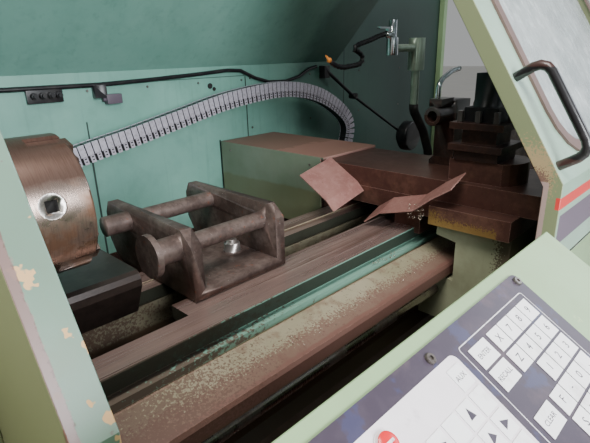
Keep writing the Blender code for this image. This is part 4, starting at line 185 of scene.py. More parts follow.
soft_light("over_bay", (-1.1, -0.5, 3.2), (-0.5, 0.1, 1.0), 1.2, 70.0, "#FFFBF4")
soft_light("open_front", (-0.75, -2.9, 2.0), (-0.3, 0.8, 1.15), 1.6, 150.0, "#F6FBFF")
soft_light("right_end", (2.9, -1.9, 2.6), (0.9, -0.4, 1.1), 1.8, 40.0, "#EAF2FF")
world = bpy.data.worlds.new("studio")
bpy.context.scene.world = world
world.use_nodes = True
sky = world.node_tree.nodes["Background"]
sky.inputs["Color"].default_value = linear("#F0F2F2")
sky.inputs["Strength"].default_value = 0.42
print("lights", len(bpy.data.lights))

# %% [markdown]
# A finish is built up in coats, as on the shop floor.
# Two close tones come first, then grime, runs and chips, each laid over the last through a mask.
# Masks are either patchy, or zones that a place on the machine or the lie of a surface decides.

# %% Coats and masks


NOISE_ROUGHNESS = 0.62
# Half the width over which a grained border fades
BORDER = 0.06
# How square to each other the true and the softened normal are at a flat face and at an edge
FLAT, ON_EDGE = 0.99, 0.88


def per_mm(size):
    """Noise scale whose cells are this many millimetres across."""
    return 1000.0 / size


def finish(name, first, second, cloud_mm=240, rough=0.4, metal=0.0, ior=None, stretch=(1, 1, 1)):
    """Starts a finish: two close tones of one colour that drift into each other."""
    look = bpy.data.materials.new(name)
    look.use_nodes = True
    shader = look.node_tree.nodes["Principled BSDF"]
    shader.inputs["Base Color"].default_value = linear(first)
    shader.inputs["Roughness"].default_value = rough
    shader.inputs["Metallic"].default_value = metal
    if ior:
        shader.inputs["IOR"].default_value = ior
    cover(look, patches(look, cloud_mm, 0.38, 0.66, stretch, 5.0), colour=second)
    return look


def place(look, kind="Object"):
    """The machine's own coordinates in metres, or with Normal the way that a surface faces."""
    tree = look.node_tree
    spot = tree.nodes.get("place") or add(tree, "ShaderNodeTexCoord", {"name": "place"})
    return spot.outputs[kind]


def slip_in(tree, target, node, entry, leave):
    """Puts a node between a socket and whatever fed it."""
    if target.is_linked:
        tree.links.new(target.links[0].from_socket, node.inputs[entry])
    elif target.type != "VECTOR":
        node.inputs[entry].default_value = target.default_value
    tree.links.new(node.outputs[leave], target)


def product(tree, first, second):
    """Multiplies a socket by another socket or by a number."""
    if isinstance(second, (int, float)):
        return add(tree, "ShaderNodeMath", {"operation": "MULTIPLY", 1: second}, {0: first}).outputs[0]
    return add(tree, "ShaderNodeMath", {"operation": "MULTIPLY"}, {0: first, 1: second}).outputs[0]


def ramp(tree, value, start, end):
    """0 at the start value and 1 at the end value."""
    return add(tree, "ShaderNodeMapRange", {"From Min": start, "From Max": end}, {"Value": value}).outputs[0]


def cover(look, mask, share=1.0, colour=None, rough=None, metal=None):
    """Lays one more coat: where the mask is 1 it hides what is below by its share."""
    tree = look.node_tree
    shader = tree.nodes["Principled BSDF"]
    if share < 1.0:
        mask = product(tree, mask, share)
    if colour:
        coat = add(tree, "ShaderNodeMix", {"data_type": "RGBA", 7: linear(colour)}, {0: mask})
        slip_in(tree, shader.inputs["Base Color"], coat, 6, 2)
    for socket, value in (("Roughness", rough), ("Metallic", metal)):
        if value is not None:
            coat = add(tree, "ShaderNodeMix", {3: value}, {0: mask})
            slip_in(tree, shader.inputs[socket], coat, 2, 0)


def patches(look, size_mm, low, high, stretch=(1, 1, 1), detail=6.0):
    """Patchy mask with cells of that size: 0 below low and 1 above high."""
    tree = look.node_tree
    spot = place(look)
    if stretch != (1, 1, 1):
        spot = add(tree, "ShaderNodeMapping", {"Scale": stretch}, {"Vector": spot}).outputs[0]
    cells = add(tree, "ShaderNodeTexNoise",
                {"Scale": per_mm(size_mm), "Detail": detail, "Roughness": NOISE_ROUGHNESS}, {"Vector": spot})
    return ramp(tree, cells.outputs[0], low, high)


def zone(look, *ramps, grain_mm=0, broken=0.6):
    """Mask that is 1 where every ramp (axis, from, to) is past its end; grain breaks up its border.
    The axes are X, Y and Z in metres, and NX, NY and NZ for the way that the surface faces."""
    tree = look.node_tree
    mask = None
    for axis, start, end in ramps:
        kind = "Normal" if axis[0] == "N" else "Object"
        split = tree.nodes.get(kind) or add(tree, "ShaderNodeSeparateXYZ", {"name": kind},
                                            {0: place(look, kind)})
        step = ramp(tree, split.outputs[axis[-1]], start, end)
        mask = step if mask is None else product(tree, mask, step)
    if grain_mm:
        grain = patches(look, grain_mm, 0.0, 1.0, detail=8.0)
        rugged = add(tree, "ShaderNodeMath", {"operation": "MULTIPLY_ADD", 1: 2 * broken},
                     {0: grain, 2: mask})
        mask = ramp(tree, rugged.outputs[0], 0.5 - BORDER + broken, 0.5 + BORDER + broken)
    return mask


def band(look, share, colour, rough, *ramps, metal=None, **grain):
    """Lays a coat on a zone."""
    cover(look, zone(look, *ramps, **grain), share, colour, rough, metal)


def spots(look, size_mm, low, high, share, colour, rough, detail=6.0, metal=None):
    """Lays a coat in patches."""
    cover(look, patches(look, size_mm, low, high, detail=detail), share, colour, rough, metal)


def worn_edges(look, radius_mm, grain_mm, wear):
    """Mask of the edges that hands, chips and keys rub; grain breaks it up."""
    tree = look.node_tree
    soft = add(tree, "ShaderNodeBevel", {"samples": 6, "Radius": radius_mm / 1000})
    true = add(tree, "ShaderNodeNewGeometry")
    bend = add(tree, "ShaderNodeVectorMath", {"operation": "DOT_PRODUCT"},
               {0: soft.outputs[0], 1: true.outputs["Normal"]})
    near = ramp(tree, bend.outputs["Value"], FLAT, ON_EDGE)
    rub = product(tree, near, patches(look, grain_mm, 0.0, 1.0, detail=5.0))
    low = 0.66 - 0.4 * wear
    return ramp(tree, rub, low, low + 0.05)


def relief(look, height, depth_mm, strength=0.3):
    """Raises the surface by a mask; later reliefs add to earlier ones."""
    tree = look.node_tree
    bump = add(tree, "ShaderNodeBump", {"Strength": strength, "Distance": depth_mm / 1000},
               {"Height": height})
    slip_in(tree, tree.nodes["Principled BSDF"].inputs["Normal"], bump, "Normal", 0)


print("coats and masks ready")

# %% [markdown]
# Machine paint is a sprayed enamel over filler putty on cast iron and sheet.
# Years of coolant leave brown runs, and knocks break it down to pink putty or bare rust.
# The edges of sheets go first, so every enamel wears there.

# %% Worn enamels


def enamel(name, first, second, grime="#6E6248", chip="#A98C85", dirt=0.3, chips=0.3, rough=0.36, runs=0.25,
           edge=0.35, edge_mm=2.5, edge_tone=None):
    """Sprayed machine enamel: satin, slightly cloudy, with coolant runs, chips and rubbed edges."""
    look = finish(name, first, second, 240, rough, ior=1.5)
    cover(look, patches(look, 70, 0.5, 0.74, detail=9.0), dirt, grime, rough + 0.2)
    cover(look, patches(look, 20, 0.56, 0.76, (1, 1, 0.06)), runs, grime)
    flakes = patches(look, 24, 0.84 - 0.2 * chips, 0.852 - 0.2 * chips)
    cover(look, flakes, 1.0, chip, 0.7)
    cover(look, worn_edges(look, edge_mm, 12, edge), 0.9, edge_tone or chip, 0.6)
    relief(look, flakes, 0.5, -0.4)
    relief(look, patches(look, 3.2, 0.2, 0.8, detail=2.0), 0.25, 0.12)
    return look


panel_enamel = enamel("panel_enamel_light_green", "#93AE84", "#88A47A", dirt=0.12, chips=0.08, runs=0.06,
                      edge=0.3, edge_tone="#B9C6A6")
spots(panel_enamel, 45, 0.66, 0.7, 0.6, "#D8D6A8", 0.6, 9.0)

# The rubbed edges of this wall are a pale bluish grey: partly wear, and partly a painted highlight along the
# sheet's edge.
wall_edge_enamel = enamel("wall_edge_enamel", "#688272", "#5F7866", dirt=0.2, chips=0.5, chip="#E2B98A",
                          runs=0.1, edge=0.55, edge_mm=3.0, edge_tone="#9AA8AC")
spots(wall_edge_enamel, 30, 0.6, 0.615, 0.95, "#C8A070", 0.7, 3.0)
spots(wall_edge_enamel, 11, 0.67, 0.69, 0.7, "#6C5C58", 0.7, 5.0)
FACING_LEFT = ("NX", -0.4, -0.6)
band(wall_edge_enamel, 1.0, "#A4A67E", 0.45, FACING_LEFT)
WALL_OUTSIDE, MAUVE_REACH = -0.948, 0.011
beside_edge = ("X", WALL_OUTSIDE + MAUVE_REACH, WALL_OUTSIDE + 0.4 * MAUVE_REACH)
NOT_OUTSIDE = ("NX", -0.9, -0.7)
band(wall_edge_enamel, 0.9, "#6A4E4A", 0.3, beside_edge, NOT_OUTSIDE, grain_mm=16, broken=0.35)
band(wall_edge_enamel, 0.5, "#86706C", None, beside_edge, NOT_OUTSIDE, grain_mm=5, broken=1.1)
band(wall_edge_enamel, 0.9, "#8A6258", 0.4, ("Y", -0.385, -0.398), FACING_LEFT, grain_mm=14, broken=0.4)

door_enamel = enamel("door_enamel_light_green", "#9DB8A6", "#92AE98", dirt=0.1, chips=0.1, runs=0.08,
                     edge=0.4, edge_mm=1.8, edge_tone="#DDE2CF")
DOOR_EDGE = ("NX", -0.35, -0.6)
band(door_enamel, 1.0, "#7E8664", 0.45, DOOR_EDGE)
band(door_enamel, 1.0, "#A48F6A", 0.75, DOOR_EDGE, ("Z", 1.22, 1.13), ("Z", 1.04, 1.10), ("Y", -0.443, -0.40),
     grain_mm=5, broken=1.2)
band(door_enamel, 0.9, "#6A4C44", 0.7, DOOR_EDGE, ("Z", 1.15, 1.11), ("Z", 1.07, 1.10), ("Y", -0.43, -0.40),
     grain_mm=3, broken=1.3)
band(door_enamel, 0.9, "#A98F8A", 0.5, DOOR_EDGE, ("Y", -0.420, -0.414), ("Z", 1.112, 1.104), grain_mm=9,
     broken=0.3)

guard_enamel = enamel("guard_enamel_olive", "#8C9472", "#7D8465", chip="#D8B48C", dirt=0.3, chips=0.12,
                      edge=0.4, edge_mm=2.2)
cover_enamel = enamel("slide_cover_enamel_olive", "#7E8878", "#707C68", chip="#C9A27E", dirt=0.15, chips=0.1,
                      runs=0.15, edge=0.25, edge_mm=1.6)
FACING_UP = ("NZ", 0.5, 0.8)
band(cover_enamel, 0.6, "#6F6A48", None, ("Z", 0.97, 0.90), grain_mm=120, broken=0.3)
band(cover_enamel, 0.96, "#7A5C50", 0.62, FACING_UP)
band(cover_enamel, 0.5, "#9A7064", 0.4, FACING_UP, ("Y", 0.55, 0.40), grain_mm=60, broken=0.5)
band(cover_enamel, 0.9, "#A88078", 0.4, ("NY", -0.5, -0.8), ("Z", 1.04, 1.045))

bay_enamel = enamel("bay_wall_enamel_teal", "#7FAEA0", "#74A496", grime="#4A7064", chip="#8C6A5A", dirt=0.25,
                    chips=0.05, rough=0.32, runs=0.3, edge=0.1)
INSIDE_ONLY = ("NY", 0.6, 0.3)
# Painted shade: the bay wall and hood darken towards the right end, go near black at the far right, and
# darken along the top, where the roof shades them.
band(bay_enamel, 0.55, "#2E5248", 0.4, ("X", 0.15, 0.9), INSIDE_ONLY, grain_mm=260, broken=0.25)
band(bay_enamel, 0.85, "#12221D", 0.5, ("X", 0.5, 1.35), INSIDE_ONLY)
band(bay_enamel, 0.7, "#2E4A40", 0.4, ("Z", 1.56, 1.66), INSIDE_ONLY)
# Each seam in metres: its place along the wall, its top, its foot and half its width
SEAMS = ((0.244, 1.290, 1.02, 0.0022), (-0.404, 1.06, 0.62, 0.0028), (-0.402, 1.185, 1.115, 0.002),
         (0.100, 1.06, 0.86, 0.003), (0.86, 1.40, 0.62, 0.002))
LINE_FADE, LINE_END = 0.001, 0.004
for seam_x, seam_top, seam_foot, half in SEAMS:
    band(bay_enamel, 0.92, "#101A17", 0.6, ("X", seam_x - half - LINE_FADE, seam_x - half),
         ("X", seam_x + half + LINE_FADE, seam_x + half), ("Z", seam_foot, seam_foot + LINE_END),
         ("Z", seam_top, seam_top - LINE_END), INSIDE_ONLY)
PLATE_TOP, PLATE_LEFT, PLATE_RIGHT = 1.292, -0.402, 0.244
band(bay_enamel, 0.8, "#20342D", 0.5, ("Z", PLATE_TOP - 3 * LINE_FADE, PLATE_TOP - 2 * LINE_FADE),
     ("Z", PLATE_TOP + LINE_FADE, PLATE_TOP), ("X", PLATE_LEFT, PLATE_LEFT + LINE_END),
     ("X", PLATE_RIGHT, PLATE_RIGHT - LINE_END), ("NY", -0.5, -0.9))

cabinet_enamel = enamel("cabinet_enamel_light_green", "#A4BA97", "#98AE8C", dirt=0.15, chips=0.08, runs=0.1,
                        edge=0.3, edge_tone="#C8A68E")
motor_enamel = enamel("motor_enamel_blue_grey", "#4E5A63", "#3C464E", grime="#2A2522", chip="#6A4A3A",
                      dirt=0.5)
stand_enamel = enamel("stand_enamel_dark_brown", "#4E4038", "#3E332C", grime="#2A201C", chip="#7C5A4A",
                      dirt=0.5, chips=0.35)
print("enamels", [m.name for m in bpy.data.materials if "enamel" in m.name])

# %% [markdown]
# The floor is a pale sheet under the machine. It belongs to the studio and not to the machine.

# %% Floor
floor_mesh = bmesh.new()
bmesh.ops.create_grid(floor_mesh, x_segments=1, y_segments=1, size=40.0)
floor_look = finish("pale_studio_floor", "#D8D6D1", "#D2D0CB", 900, 0.8)
studio_floor = plain_mesh("studio_floor", floor_mesh, floor_look)
print("floor staged")

# %% [markdown]
# The bed is one casting with many finishes, because each face has had its own life.
# The ways are ground and scratched lengthwise under a red brown film, with pale streaks painted on as
# reflections; the ledge keeps its teal paint, the shoulder has a crust of brown dust at its edge, and
# everything below it is darker brown, for old oil and as painted shade under the shoulder.

# %% Bed casting
WAY_TOP, LEDGE_TOP, SHOULDER_FOOT = 0.900, 0.856, 0.797
BELOW_LEDGE = ("Z", 0.858, 0.856)
ON_LEDGE = (("Z", LEDGE_TOP - 0.016, LEDGE_TOP - 0.014), ("Y", -0.087, -0.084), ("Y", -0.03, -0.035))
bed_finish = finish("bed_casting_paint", "#948C76", "#857F66", 180, 0.5, ior=1.5)
spots(bed_finish, 40, 0.52, 0.62, 0.55, "#6E5546", 0.6, 9.0)
spots(bed_finish, 9, 0.60, 0.66, 0.7, "#3E2A24", 0.7, 6.0)
band(bed_finish, 0.8, "#6A4A42", 0.75, ("Y", -0.10, -0.165), BELOW_LEDGE, grain_mm=4.5, broken=1.1)
band(bed_finish, 0.8, "#6E4C44", 0.5, ("Y", -0.155, -0.178), grain_mm=26, broken=0.5)
band(bed_finish, 0.8, "#5E443A", 0.6, ("X", -0.35, -0.95), BELOW_LEDGE, grain_mm=5, broken=1.0)
cover(bed_finish, worn_edges(bed_finish, 4.0, 14, 0.5), 0.7, "#A98478", 0.4)
band(bed_finish, 1.0, "#749A8A", 0.4, *ON_LEDGE)
band(bed_finish, 0.9, "#5C463C", 0.6, *ON_LEDGE, ("X", -0.15, -0.95), grain_mm=9, broken=0.9)
# Dark green flank paint and painted shade: the face between the ledge and the way is near black, in the
# recess under the way.
band(bed_finish, 0.94, "#1C201A", 0.42, ("Z", LEDGE_TOP + 0.002, LEDGE_TOP + 0.006),
     ("Z", WAY_TOP - 0.002, WAY_TOP - 0.004))
# Painted shade over old oil: the bed is darker brown below the shoulder's foot, where the shoulder overhangs
# it.
band(bed_finish, 0.95, "#5C4A3A", 0.5, ("Z", SHOULDER_FOOT + 0.004, SHOULDER_FOOT - 0.002))
way = zone(bed_finish, ("Z", WAY_TOP - 0.006, WAY_TOP - 0.005), ("NZ", 0.8, 0.95))
cover(bed_finish, way, 1.0, "#A48A84", 0.27, metal=0.7)
# Each film on the ways: its tone, cell in mm, mask from and to, how far it is drawn out, and its share. The
# pale tones are painted highlights, reflections drawn out along the ways; the dark ones are film and
# scratches.
WAY_FILM_AND_SHEEN = (("#BDA096", 70, 0.44, 0.62, 0.12, 0.8), ("#765A4E", 34, 0.52, 0.62, 0.06, 0.7),
            ("#D6C0B8", 5.0, 0.54, 0.64, 0.008, 0.8), ("#3A221C", 4.0, 0.60, 0.68, 0.006, 0.8),
            ("#D8BEB4", 2.2, 0.66, 0.72, 0.01, 0.7))
for tone, cell, low, high, pull, share in WAY_FILM_AND_SHEEN:
    film = product(bed_finish.node_tree, patches(bed_finish, cell, low, high, (pull, 1, 1), 7.0), way)
    cover(bed_finish, film, share, tone, 0.38 if cell > 20 else 0.24)
relief(bed_finish, patches(bed_finish, 2.6, 0.3, 0.8, (0.01, 1, 1), 4.0), 0.15, 0.5)
relief(bed_finish, patches(bed_finish, 7, 0.55, 0.7, detail=8.0), 0.5, 0.35)
print("bed finish", bed_finish.name)

# %% [markdown]
# Machined and oily metals. Their finish has a direction: turning runs round the axis, grinding along the bed.
# A brown film of old coolant lies over them and breaks where work or a cloth has rubbed.

# %% Bare and oily metals


def oily_metal(name, bright, film, stain, film_share=0.6, rough=0.28, stretch=(0.02, 1, 1), line_mm=1.6,
               metal=1.0, film_mm=90, edge=0.0, edge_tone="#C9B4AC"):
    """Machined metal under a film of dried coolant; the stretch sets which way the tool marks run."""
    look = finish(name, bright, bright, film_mm, rough, metal)
    low = 0.62 - 0.3 * film_share
    film_mask = patches(look, film_mm, low, low + 0.14, detail=8.0)
    cover(look, film_mask, 0.92, film, rough + 0.12, metal * 0.5)
    lines = patches(look, line_mm, 0.45, 0.7, stretch, 4.0)
    cover(look, lines, 0.5, stain, rough + 0.1)
    if edge:
        cover(look, worn_edges(look, 2.0, 9, edge), 0.85, edge_tone, rough, metal)
    relief(look, lines, 0.05, 0.35)
    return look


turned_steel = oily_metal("turned_bright_steel", "#B9B3AE", "#8A7870", "#6A564C", 0.45, 0.24, (1, 0.03, 0.03),
                          1.2)
chuck_steel = oily_metal("oiled_chuck_steel", "#A8958A", "#76543F", "#4A3832", 0.5, 0.24, (1, 0.05, 0.05),
                         1.4, edge=0.35)
# Painted reflection and shade on the turned chuck: darker brown towards its top and near black underneath.
band(chuck_steel, 0.75, "#4A2C20", 0.32, ("Z", 1.165, 1.24), metal=0.6, grain_mm=60, broken=0.2)
band(chuck_steel, 0.75, "#241C1A", 0.4, ("Z", 1.08, 1.03), metal=0.5, grain_mm=60, broken=0.2)
pinion_steel = oily_metal("key_pinion_steel", "#BFBAB4", "#8A7C74", "#5A4A42", 0.3, 0.3, (1, 1, 1), 3)
tool_iron = oily_metal("oily_tool_slide_iron", "#6A4A40", "#4A2E28", "#3A221E", 0.7, 0.34, (0.3, 0.3, 0.3), 5,
                       metal=0.45, edge=0.75, edge_tone="#B9948A")
band(tool_iron, 0.5, "#4A342E", 0.32, FACING_UP, grain_mm=50, broken=0.6)
GOLD_CHIPS = "#8A6E3C"
for fade in ((("Z", 0.972, 0.944), ("Y", -0.12, -0.14)), (("Z", 1.0, 0.95), ("Y", -0.21, -0.13))):
    band(tool_iron, 0.85, GOLD_CHIPS, 0.45, ("NX", -0.5, -0.8), ("Y", -0.31, -0.30), ("X", 0.07, 0.06), *fade,
         grain_mm=3.2, broken=1.4)
post_iron = oily_metal("tool_post_iron", "#4A342E", "#2A1A18", "#1C1210", 0.7, 0.32, (0.4, 0.4, 0.4), 6,
                       metal=0.5, edge=0.6, edge_tone="#A98A80")
apron_paint = enamel("apron_enamel_beige_green", "#A8AC90", "#989C80", grime="#5A4A34", chip="#3E3426",
                     dirt=0.3, chips=0.35, runs=0.2, edge=0.2)
band(apron_paint, 0.8, "#6E5230", 0.6, ("Z", 0.925, 0.940), grain_mm=6, broken=0.8)
band(apron_paint, 0.85, "#4A3A2C", 0.7, ("Y", -0.27, -0.33), grain_mm=5, broken=1.0)
head_iron = oily_metal("oiled_headstock_iron", "#3A302C", "#241C1A", "#1A1412", 0.6, 0.3, (0.4, 0.4, 0.4), 6,
                       metal=0.4, edge=0.4, edge_tone="#6A5850")
dark_iron = oily_metal("blackened_forged_iron", "#7C6C66", "#4C3C37", "#322724", 0.68, 0.4, (0.5, 0.5, 0.5),
                       6, metal=0.55, edge=0.6, edge_tone="#8A7C7C")
spots(dark_iron, 16, 0.64, 0.67, 0.7, "#7A4632", 0.7, 5.0, metal=0.2)
spots(dark_iron, 5, 0.69, 0.71, 0.8, "#B8B0AE", 0.3, 4.0)
rusty_sheet = finish("rust_filmed_sheet", "#8E625C", "#9C726A", 60, 0.5, 0.25)
spots(rusty_sheet, 14, 0.5, 0.62, 0.5, "#A98078", 0.45, 8.0)
spots(rusty_sheet, 7, 0.62, 0.68, 0.7, "#5A342E", 0.6, 6.0)
cover(rusty_sheet, worn_edges(rusty_sheet, 1.5, 6, 0.7), 0.8, "#CDB0A6", 0.35, 0.6)
relief(rusty_sheet, patches(rusty_sheet, 4, 0.4, 0.7, detail=6.0), 0.2, 0.5)
tray_sheet = finish("chip_tray_sheet", "#4E322C", "#3A2622", 90, 0.45, 0.3)
spots(tray_sheet, 30, 0.5, 0.6, 0.6, "#241A18", 0.4, 9.0)
spots(tray_sheet, 6, 0.62, 0.66, 0.7, "#8A6A4A", 0.5, 5.0)
relief(tray_sheet, patches(tray_sheet, 6, 0.5, 0.7, detail=7.0), 0.4, 0.4)
bright_chrome = oily_metal("bright_chrome", "#DDE2E6", "#A8A4A2", "#8E8886", 0.15, 0.1)
link_steel = oily_metal("zinc_plated_link_plate", "#D2CDDA", "#B0AAB8", "#8E8892", 0.3, 0.36, (1, 1, 1), 9,
                        metal=0.5, edge=0.3, edge_tone="#ECE8F0")
galvanised = oily_metal("galvanised_stand", "#A9BCA9", "#8DA08E", "#6E7E6E", 0.4, 0.4, (1, 1, 0.1), 5,
                        metal=0.5)
print("metals", bed_finish.name, chuck_steel.name, tool_iron.name)

# %% [markdown]
# Plastics, rubber and the window.
# Moulded plastic has a very fine, even grain; rubber is matt and collects dust;
# the acrylic window has gone milky with coolant spots, which only show where light grazes it.

# %% Plastics, rubber and window


def moulded(name, colour, dust, rough=0.45, dust_share=0.25, grain_mm=0.9, coat=0.0):
    """Moulded plastic or rubber with a fine grain and some settled dust."""
    look = finish(name, colour, colour, 80, rough, ior=1.49)
    look.node_tree.nodes["Principled BSDF"].inputs["Coat Weight"].default_value = coat
    cover(look, patches(look, 35, 0.5, 0.75, detail=8.0), dust_share, dust, rough + 0.2)
    cover(look, worn_edges(look, 1.0, 8, 0.25), 0.4, dust, rough)
    relief(look, patches(look, grain_mm, 0.2, 0.8, detail=2.0), 0.05, 0.3)
    return look


black_plastic = moulded("moulded_black_nylon", "#17161A", "#5A5450", 0.34)
link_nylon = moulded("dark_link_nylon", "#1B191D", "#3E3A3E", 0.3, 0.3)
black_rubber = moulded("black_nitrile_rubber", "#1D1B1B", "#5A4E46", 0.6, 0.4)
gasket_rubber = moulded("window_gasket_rubber", "#6A5650", "#8A726A", 0.6, 0.4)
orange_plastic = moulded("moulded_orange_acetal", "#E08A3C", "#8A5A3A", 0.35, 0.3)
red_plastic = moulded("moulded_red_abs", "#D8232A", "#6A2A26", 0.28, 0.15, coat=0.2)
handle_plastic = moulded("handle_phenolic", "#1C1A1C", "#4A4446", 0.3, 0.3, coat=0.3)
plate_film = moulded("printed_polyester_plate", "#3E3642", "#5E5460", 0.35, 0.35)
spots(plate_film, 28, 0.54, 0.6, 0.5, "#3E4264", 0.3, 4.0)
spots(plate_film, 60, 0.55, 0.66, 0.4, "#6A5A60", 0.5, 7.0)
lamp_glass = moulded("lamp_lens_glass", "#E8EEF0", "#9AA0A0", 0.08, 0.3)
window_acrylic = finish("coolant_dusted_acrylic", "#D4DCDD", "#C2CCCD", 120, 0.22, ior=1.49)
cover(window_acrylic, patches(window_acrylic, 26, 0.5, 0.7, (1, 1, 0.25), 8.0), 0.6, "#E8EEEE", 0.5)
spots(window_acrylic, 7, 0.62, 0.66, 0.6, "#A8A498", 0.6, 3.0)
clear = add(window_acrylic.node_tree, "ShaderNodeMapRange", {"To Min": 0.42, "To Max": 0.8},
            {"Value": patches(window_acrylic, 60, 0.42, 0.7, (1, 1, 0.3), 8.0)})
acrylic_shader = window_acrylic.node_tree.nodes["Principled BSDF"]
window_acrylic.node_tree.links.new(clear.outputs[0], acrylic_shader.inputs["Alpha"])
window_acrylic.surface_render_method = "BLENDED"
for handle_end in (("Z", 1.165, 1.15), ("Z", 1.325, 1.335)):
    band(handle_plastic, 0.45, "#5A3A34", 0.4, handle_end, grain_mm=20, broken=0.2)
print("plastics", plate_film.name, window_acrylic.name)

# %% [markdown]
# Now each machine piece gets its finish.
# The table names a finish and the pieces that wear it; nothing is moved or reshaped.

# %% Dress the frame
wears = {
    panel_enamel: ("right_frame", "top_rail", "front_panel", "right_guard", "console_housing"),
    wall_edge_enamel: ("left_wall",),
    door_enamel: ("door_leaf",),
    guard_enamel: ("headstock_cover",),
    cover_enamel: ("slide_cover",),
    bay_enamel: ("rear_wall", "hood"),
    bed_finish: ("bed",),
    apron_paint: ("apron",),
    stand_enamel: ("base",),
    head_iron: ("headstock",),
    cabinet_enamel: ("electrical_cabinet", "cabinet_door"),
    motor_enamel: ("main_motor", "carriage_motor"),
    turned_steel: ("motor_pulley", "quill", "quill_handwheel", "sill_rail", "slide_screw", "carriage_screw"),
    chuck_steel: ("spindle", "chuck_body", "jaw_1", "jaw_2", "jaw_3"),
    pinion_steel: ("chuck_pinion",),
    tool_iron: ("saddle", "cross_slide"),
    post_iron: ("tool_block", "bar_holder"),
    dark_iron: ("lifting_bracket", "tailstock", "screw_bearing"),
    rusty_sheet: ("rear_shield", "front_shield"),
    tray_sheet: ("front_chip_tray", "rear_chip_tray"),
    bright_chrome: ("coolant_tube", "coolant_valve", "valve_lever"),
    galvanised: ("coolant_stand",),
    link_nylon: ("cable_conduit",),
    black_plastic: ("index_cap", "ball_hose", "work_lamp", "wall_conduit"),
    handle_plastic: ("door_handle",),
    black_rubber: ("stand_pipe", "drive_belt"),
    gasket_rubber: ("door_gasket",),
    orange_plastic: ("hose_nozzle",),
    red_plastic: ("stop_button",),
    plate_film: ("console_plate",),
    window_acrylic: ("door_pane", "guard_pane"),
}
for look, names in wears.items():
    for name in names:
        nodes[name].data.materials.clear()
        nodes[name].data.materials.append(look)
print("dressed", sum(len(names) for names in wears.values()), "of", len(nodes))

# %% [markdown]
# Round pieces come from the frame as facets. A copy with its loose triangles joined can be shaded smooth,
# and it stands in for the piece without changing its form.
# Sheet metal gets a small rounded edge the same way, because a folded edge catches the light.

# %% Smooth stand-ins


# Axes along X, in metres: y, z and how far out the turned faces reach
TURNED_ABOUT = {"chuck_body": ((0.088, 1.149, 0.112),),
                "lifting_bracket": ((0.092, 1.004, 0.046), (0.287, 1.018, 0.046))}
SQUARE_TO_AXIS = 0.985
MERGE_REACH, FLAT_ANGLE, BEVEL_ANGLE = 1e-5, 1, 35
ROUND_SHARP, SHEET_SHARP = 32, 40


def round_over(mesh, axes):
    """Corner normals straight out from each axis, on the faces that were turned about it."""
    normals = [corner.vector.copy() for corner in mesh.corner_normals]
    for face in mesh.polygons:
        for y, z, reach in axes:
            out = Vector((0, face.center.y - y, face.center.z - z))
            if out.length < reach and face.normal.dot(out.normalized()) > SQUARE_TO_AXIS:
                for corner in face.loop_indices:
                    spot = mesh.vertices[mesh.loops[corner].vertex_index].co
                    normals[corner] = Vector((0, spot.y - y, spot.z - z)).normalized()
    mesh.normals_split_custom_set(normals)


def stand_in(node, smooth=ROUND_SHARP, edge_mm=0.0):
    """A joined and smooth copy of a frame piece, with rounded edges where edge_mm is set."""
    source = nodes[node]
    mesh = bmesh.new()
    mesh.from_mesh(source.data)
    bmesh.ops.remove_doubles(mesh, verts=mesh.verts, dist=MERGE_REACH)
    if edge_mm:
        bmesh.ops.dissolve_limit(mesh, angle_limit=math.radians(FLAT_ANGLE), verts=mesh.verts,
                                 edges=mesh.edges)
    copy = plain_mesh(node + "_smooth", mesh, source.data.materials[0], smooth)
    if edge_mm:
        rounding = copy.modifiers.new("edge", "BEVEL")
        rounding.width = edge_mm / 1000
        rounding.segments = 2
        rounding.limit_method = "ANGLE"
        rounding.angle_limit = math.radians(BEVEL_ANGLE)
    shading = copy.modifiers.new("shading", "WEIGHTED_NORMAL")
    shading.keep_sharp = True
    depsgraph = bpy.context.evaluated_depsgraph_get()
    baked = bpy.data.meshes.new_from_object(copy.evaluated_get(depsgraph), depsgraph=depsgraph)
    copy.modifiers.clear()
    copy.data = baked
    if node in TURNED_ABOUT:
        round_over(baked, TURNED_ABOUT[node])
    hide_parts(node)
    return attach(copy, source["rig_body"])


ROUND_PIECES = ("chuck_body", "spindle", "chuck_pinion", "quill", "quill_handwheel", "motor_pulley",
                "main_motor", "carriage_motor", "slide_screw", "carriage_screw", "coolant_stand",
                "stand_pipe", "coolant_valve", "valve_lever", "coolant_tube", "ball_hose", "hose_nozzle",
                "work_lamp", "wall_conduit", "index_cap", "bar_holder", "lifting_bracket", "door_handle",
                "door_gasket", "stop_button", "tailstock", "screw_bearing", "drive_belt", "jaw_1", "jaw_2",
                "jaw_3")
SHEET_PIECES = {"left_wall": 2.5, "console_housing": 2.0, "door_leaf": 1.5, "front_panel": 1.5,
                "headstock_cover": 2.0, "right_frame": 2.0, "top_rail": 2.0, "electrical_cabinet": 2.0,
                "cabinet_door": 1.5, "tool_block": 0.8, "slide_cover": 1.0, "apron": 2.0}
sheets = SHEET_PIECES
for name in ROUND_PIECES:
    stand_in(name)
for name, edge_mm in sheets.items():
    stand_in(name, SHEET_SHARP, edge_mm)
print("smooth stand-ins", len(ROUND_PIECES) + len(sheets))

# %% [markdown]
# What repeats is grown with geometry nodes: a tree places one link, screw or curl on many points.
# Each tree names its sizes as inputs, ends in real geometry, and the result is kept as a plain mesh.

# %% Growing repeats


def new_tree(name, sizes, objects=()):
    """A geometry tree with named size inputs; returns it with its entry and its way out."""
    tree = bpy.data.node_groups.new(name, "GeometryNodeTree")
    tree.interface.new_socket("Geometry", in_out="INPUT", socket_type="NodeSocketGeometry")
    for label, value in sizes.items():
        tree.interface.new_socket(label, in_out="INPUT", socket_type="NodeSocketFloat").default_value = value
    for label in objects:
        tree.interface.new_socket(label, in_out="INPUT", socket_type="NodeSocketObject")
    tree.interface.new_socket("Geometry", in_out="OUTPUT", socket_type="NodeSocketGeometry")
    return tree, add(tree, "NodeGroupInput").outputs, add(tree, "NodeGroupOutput")


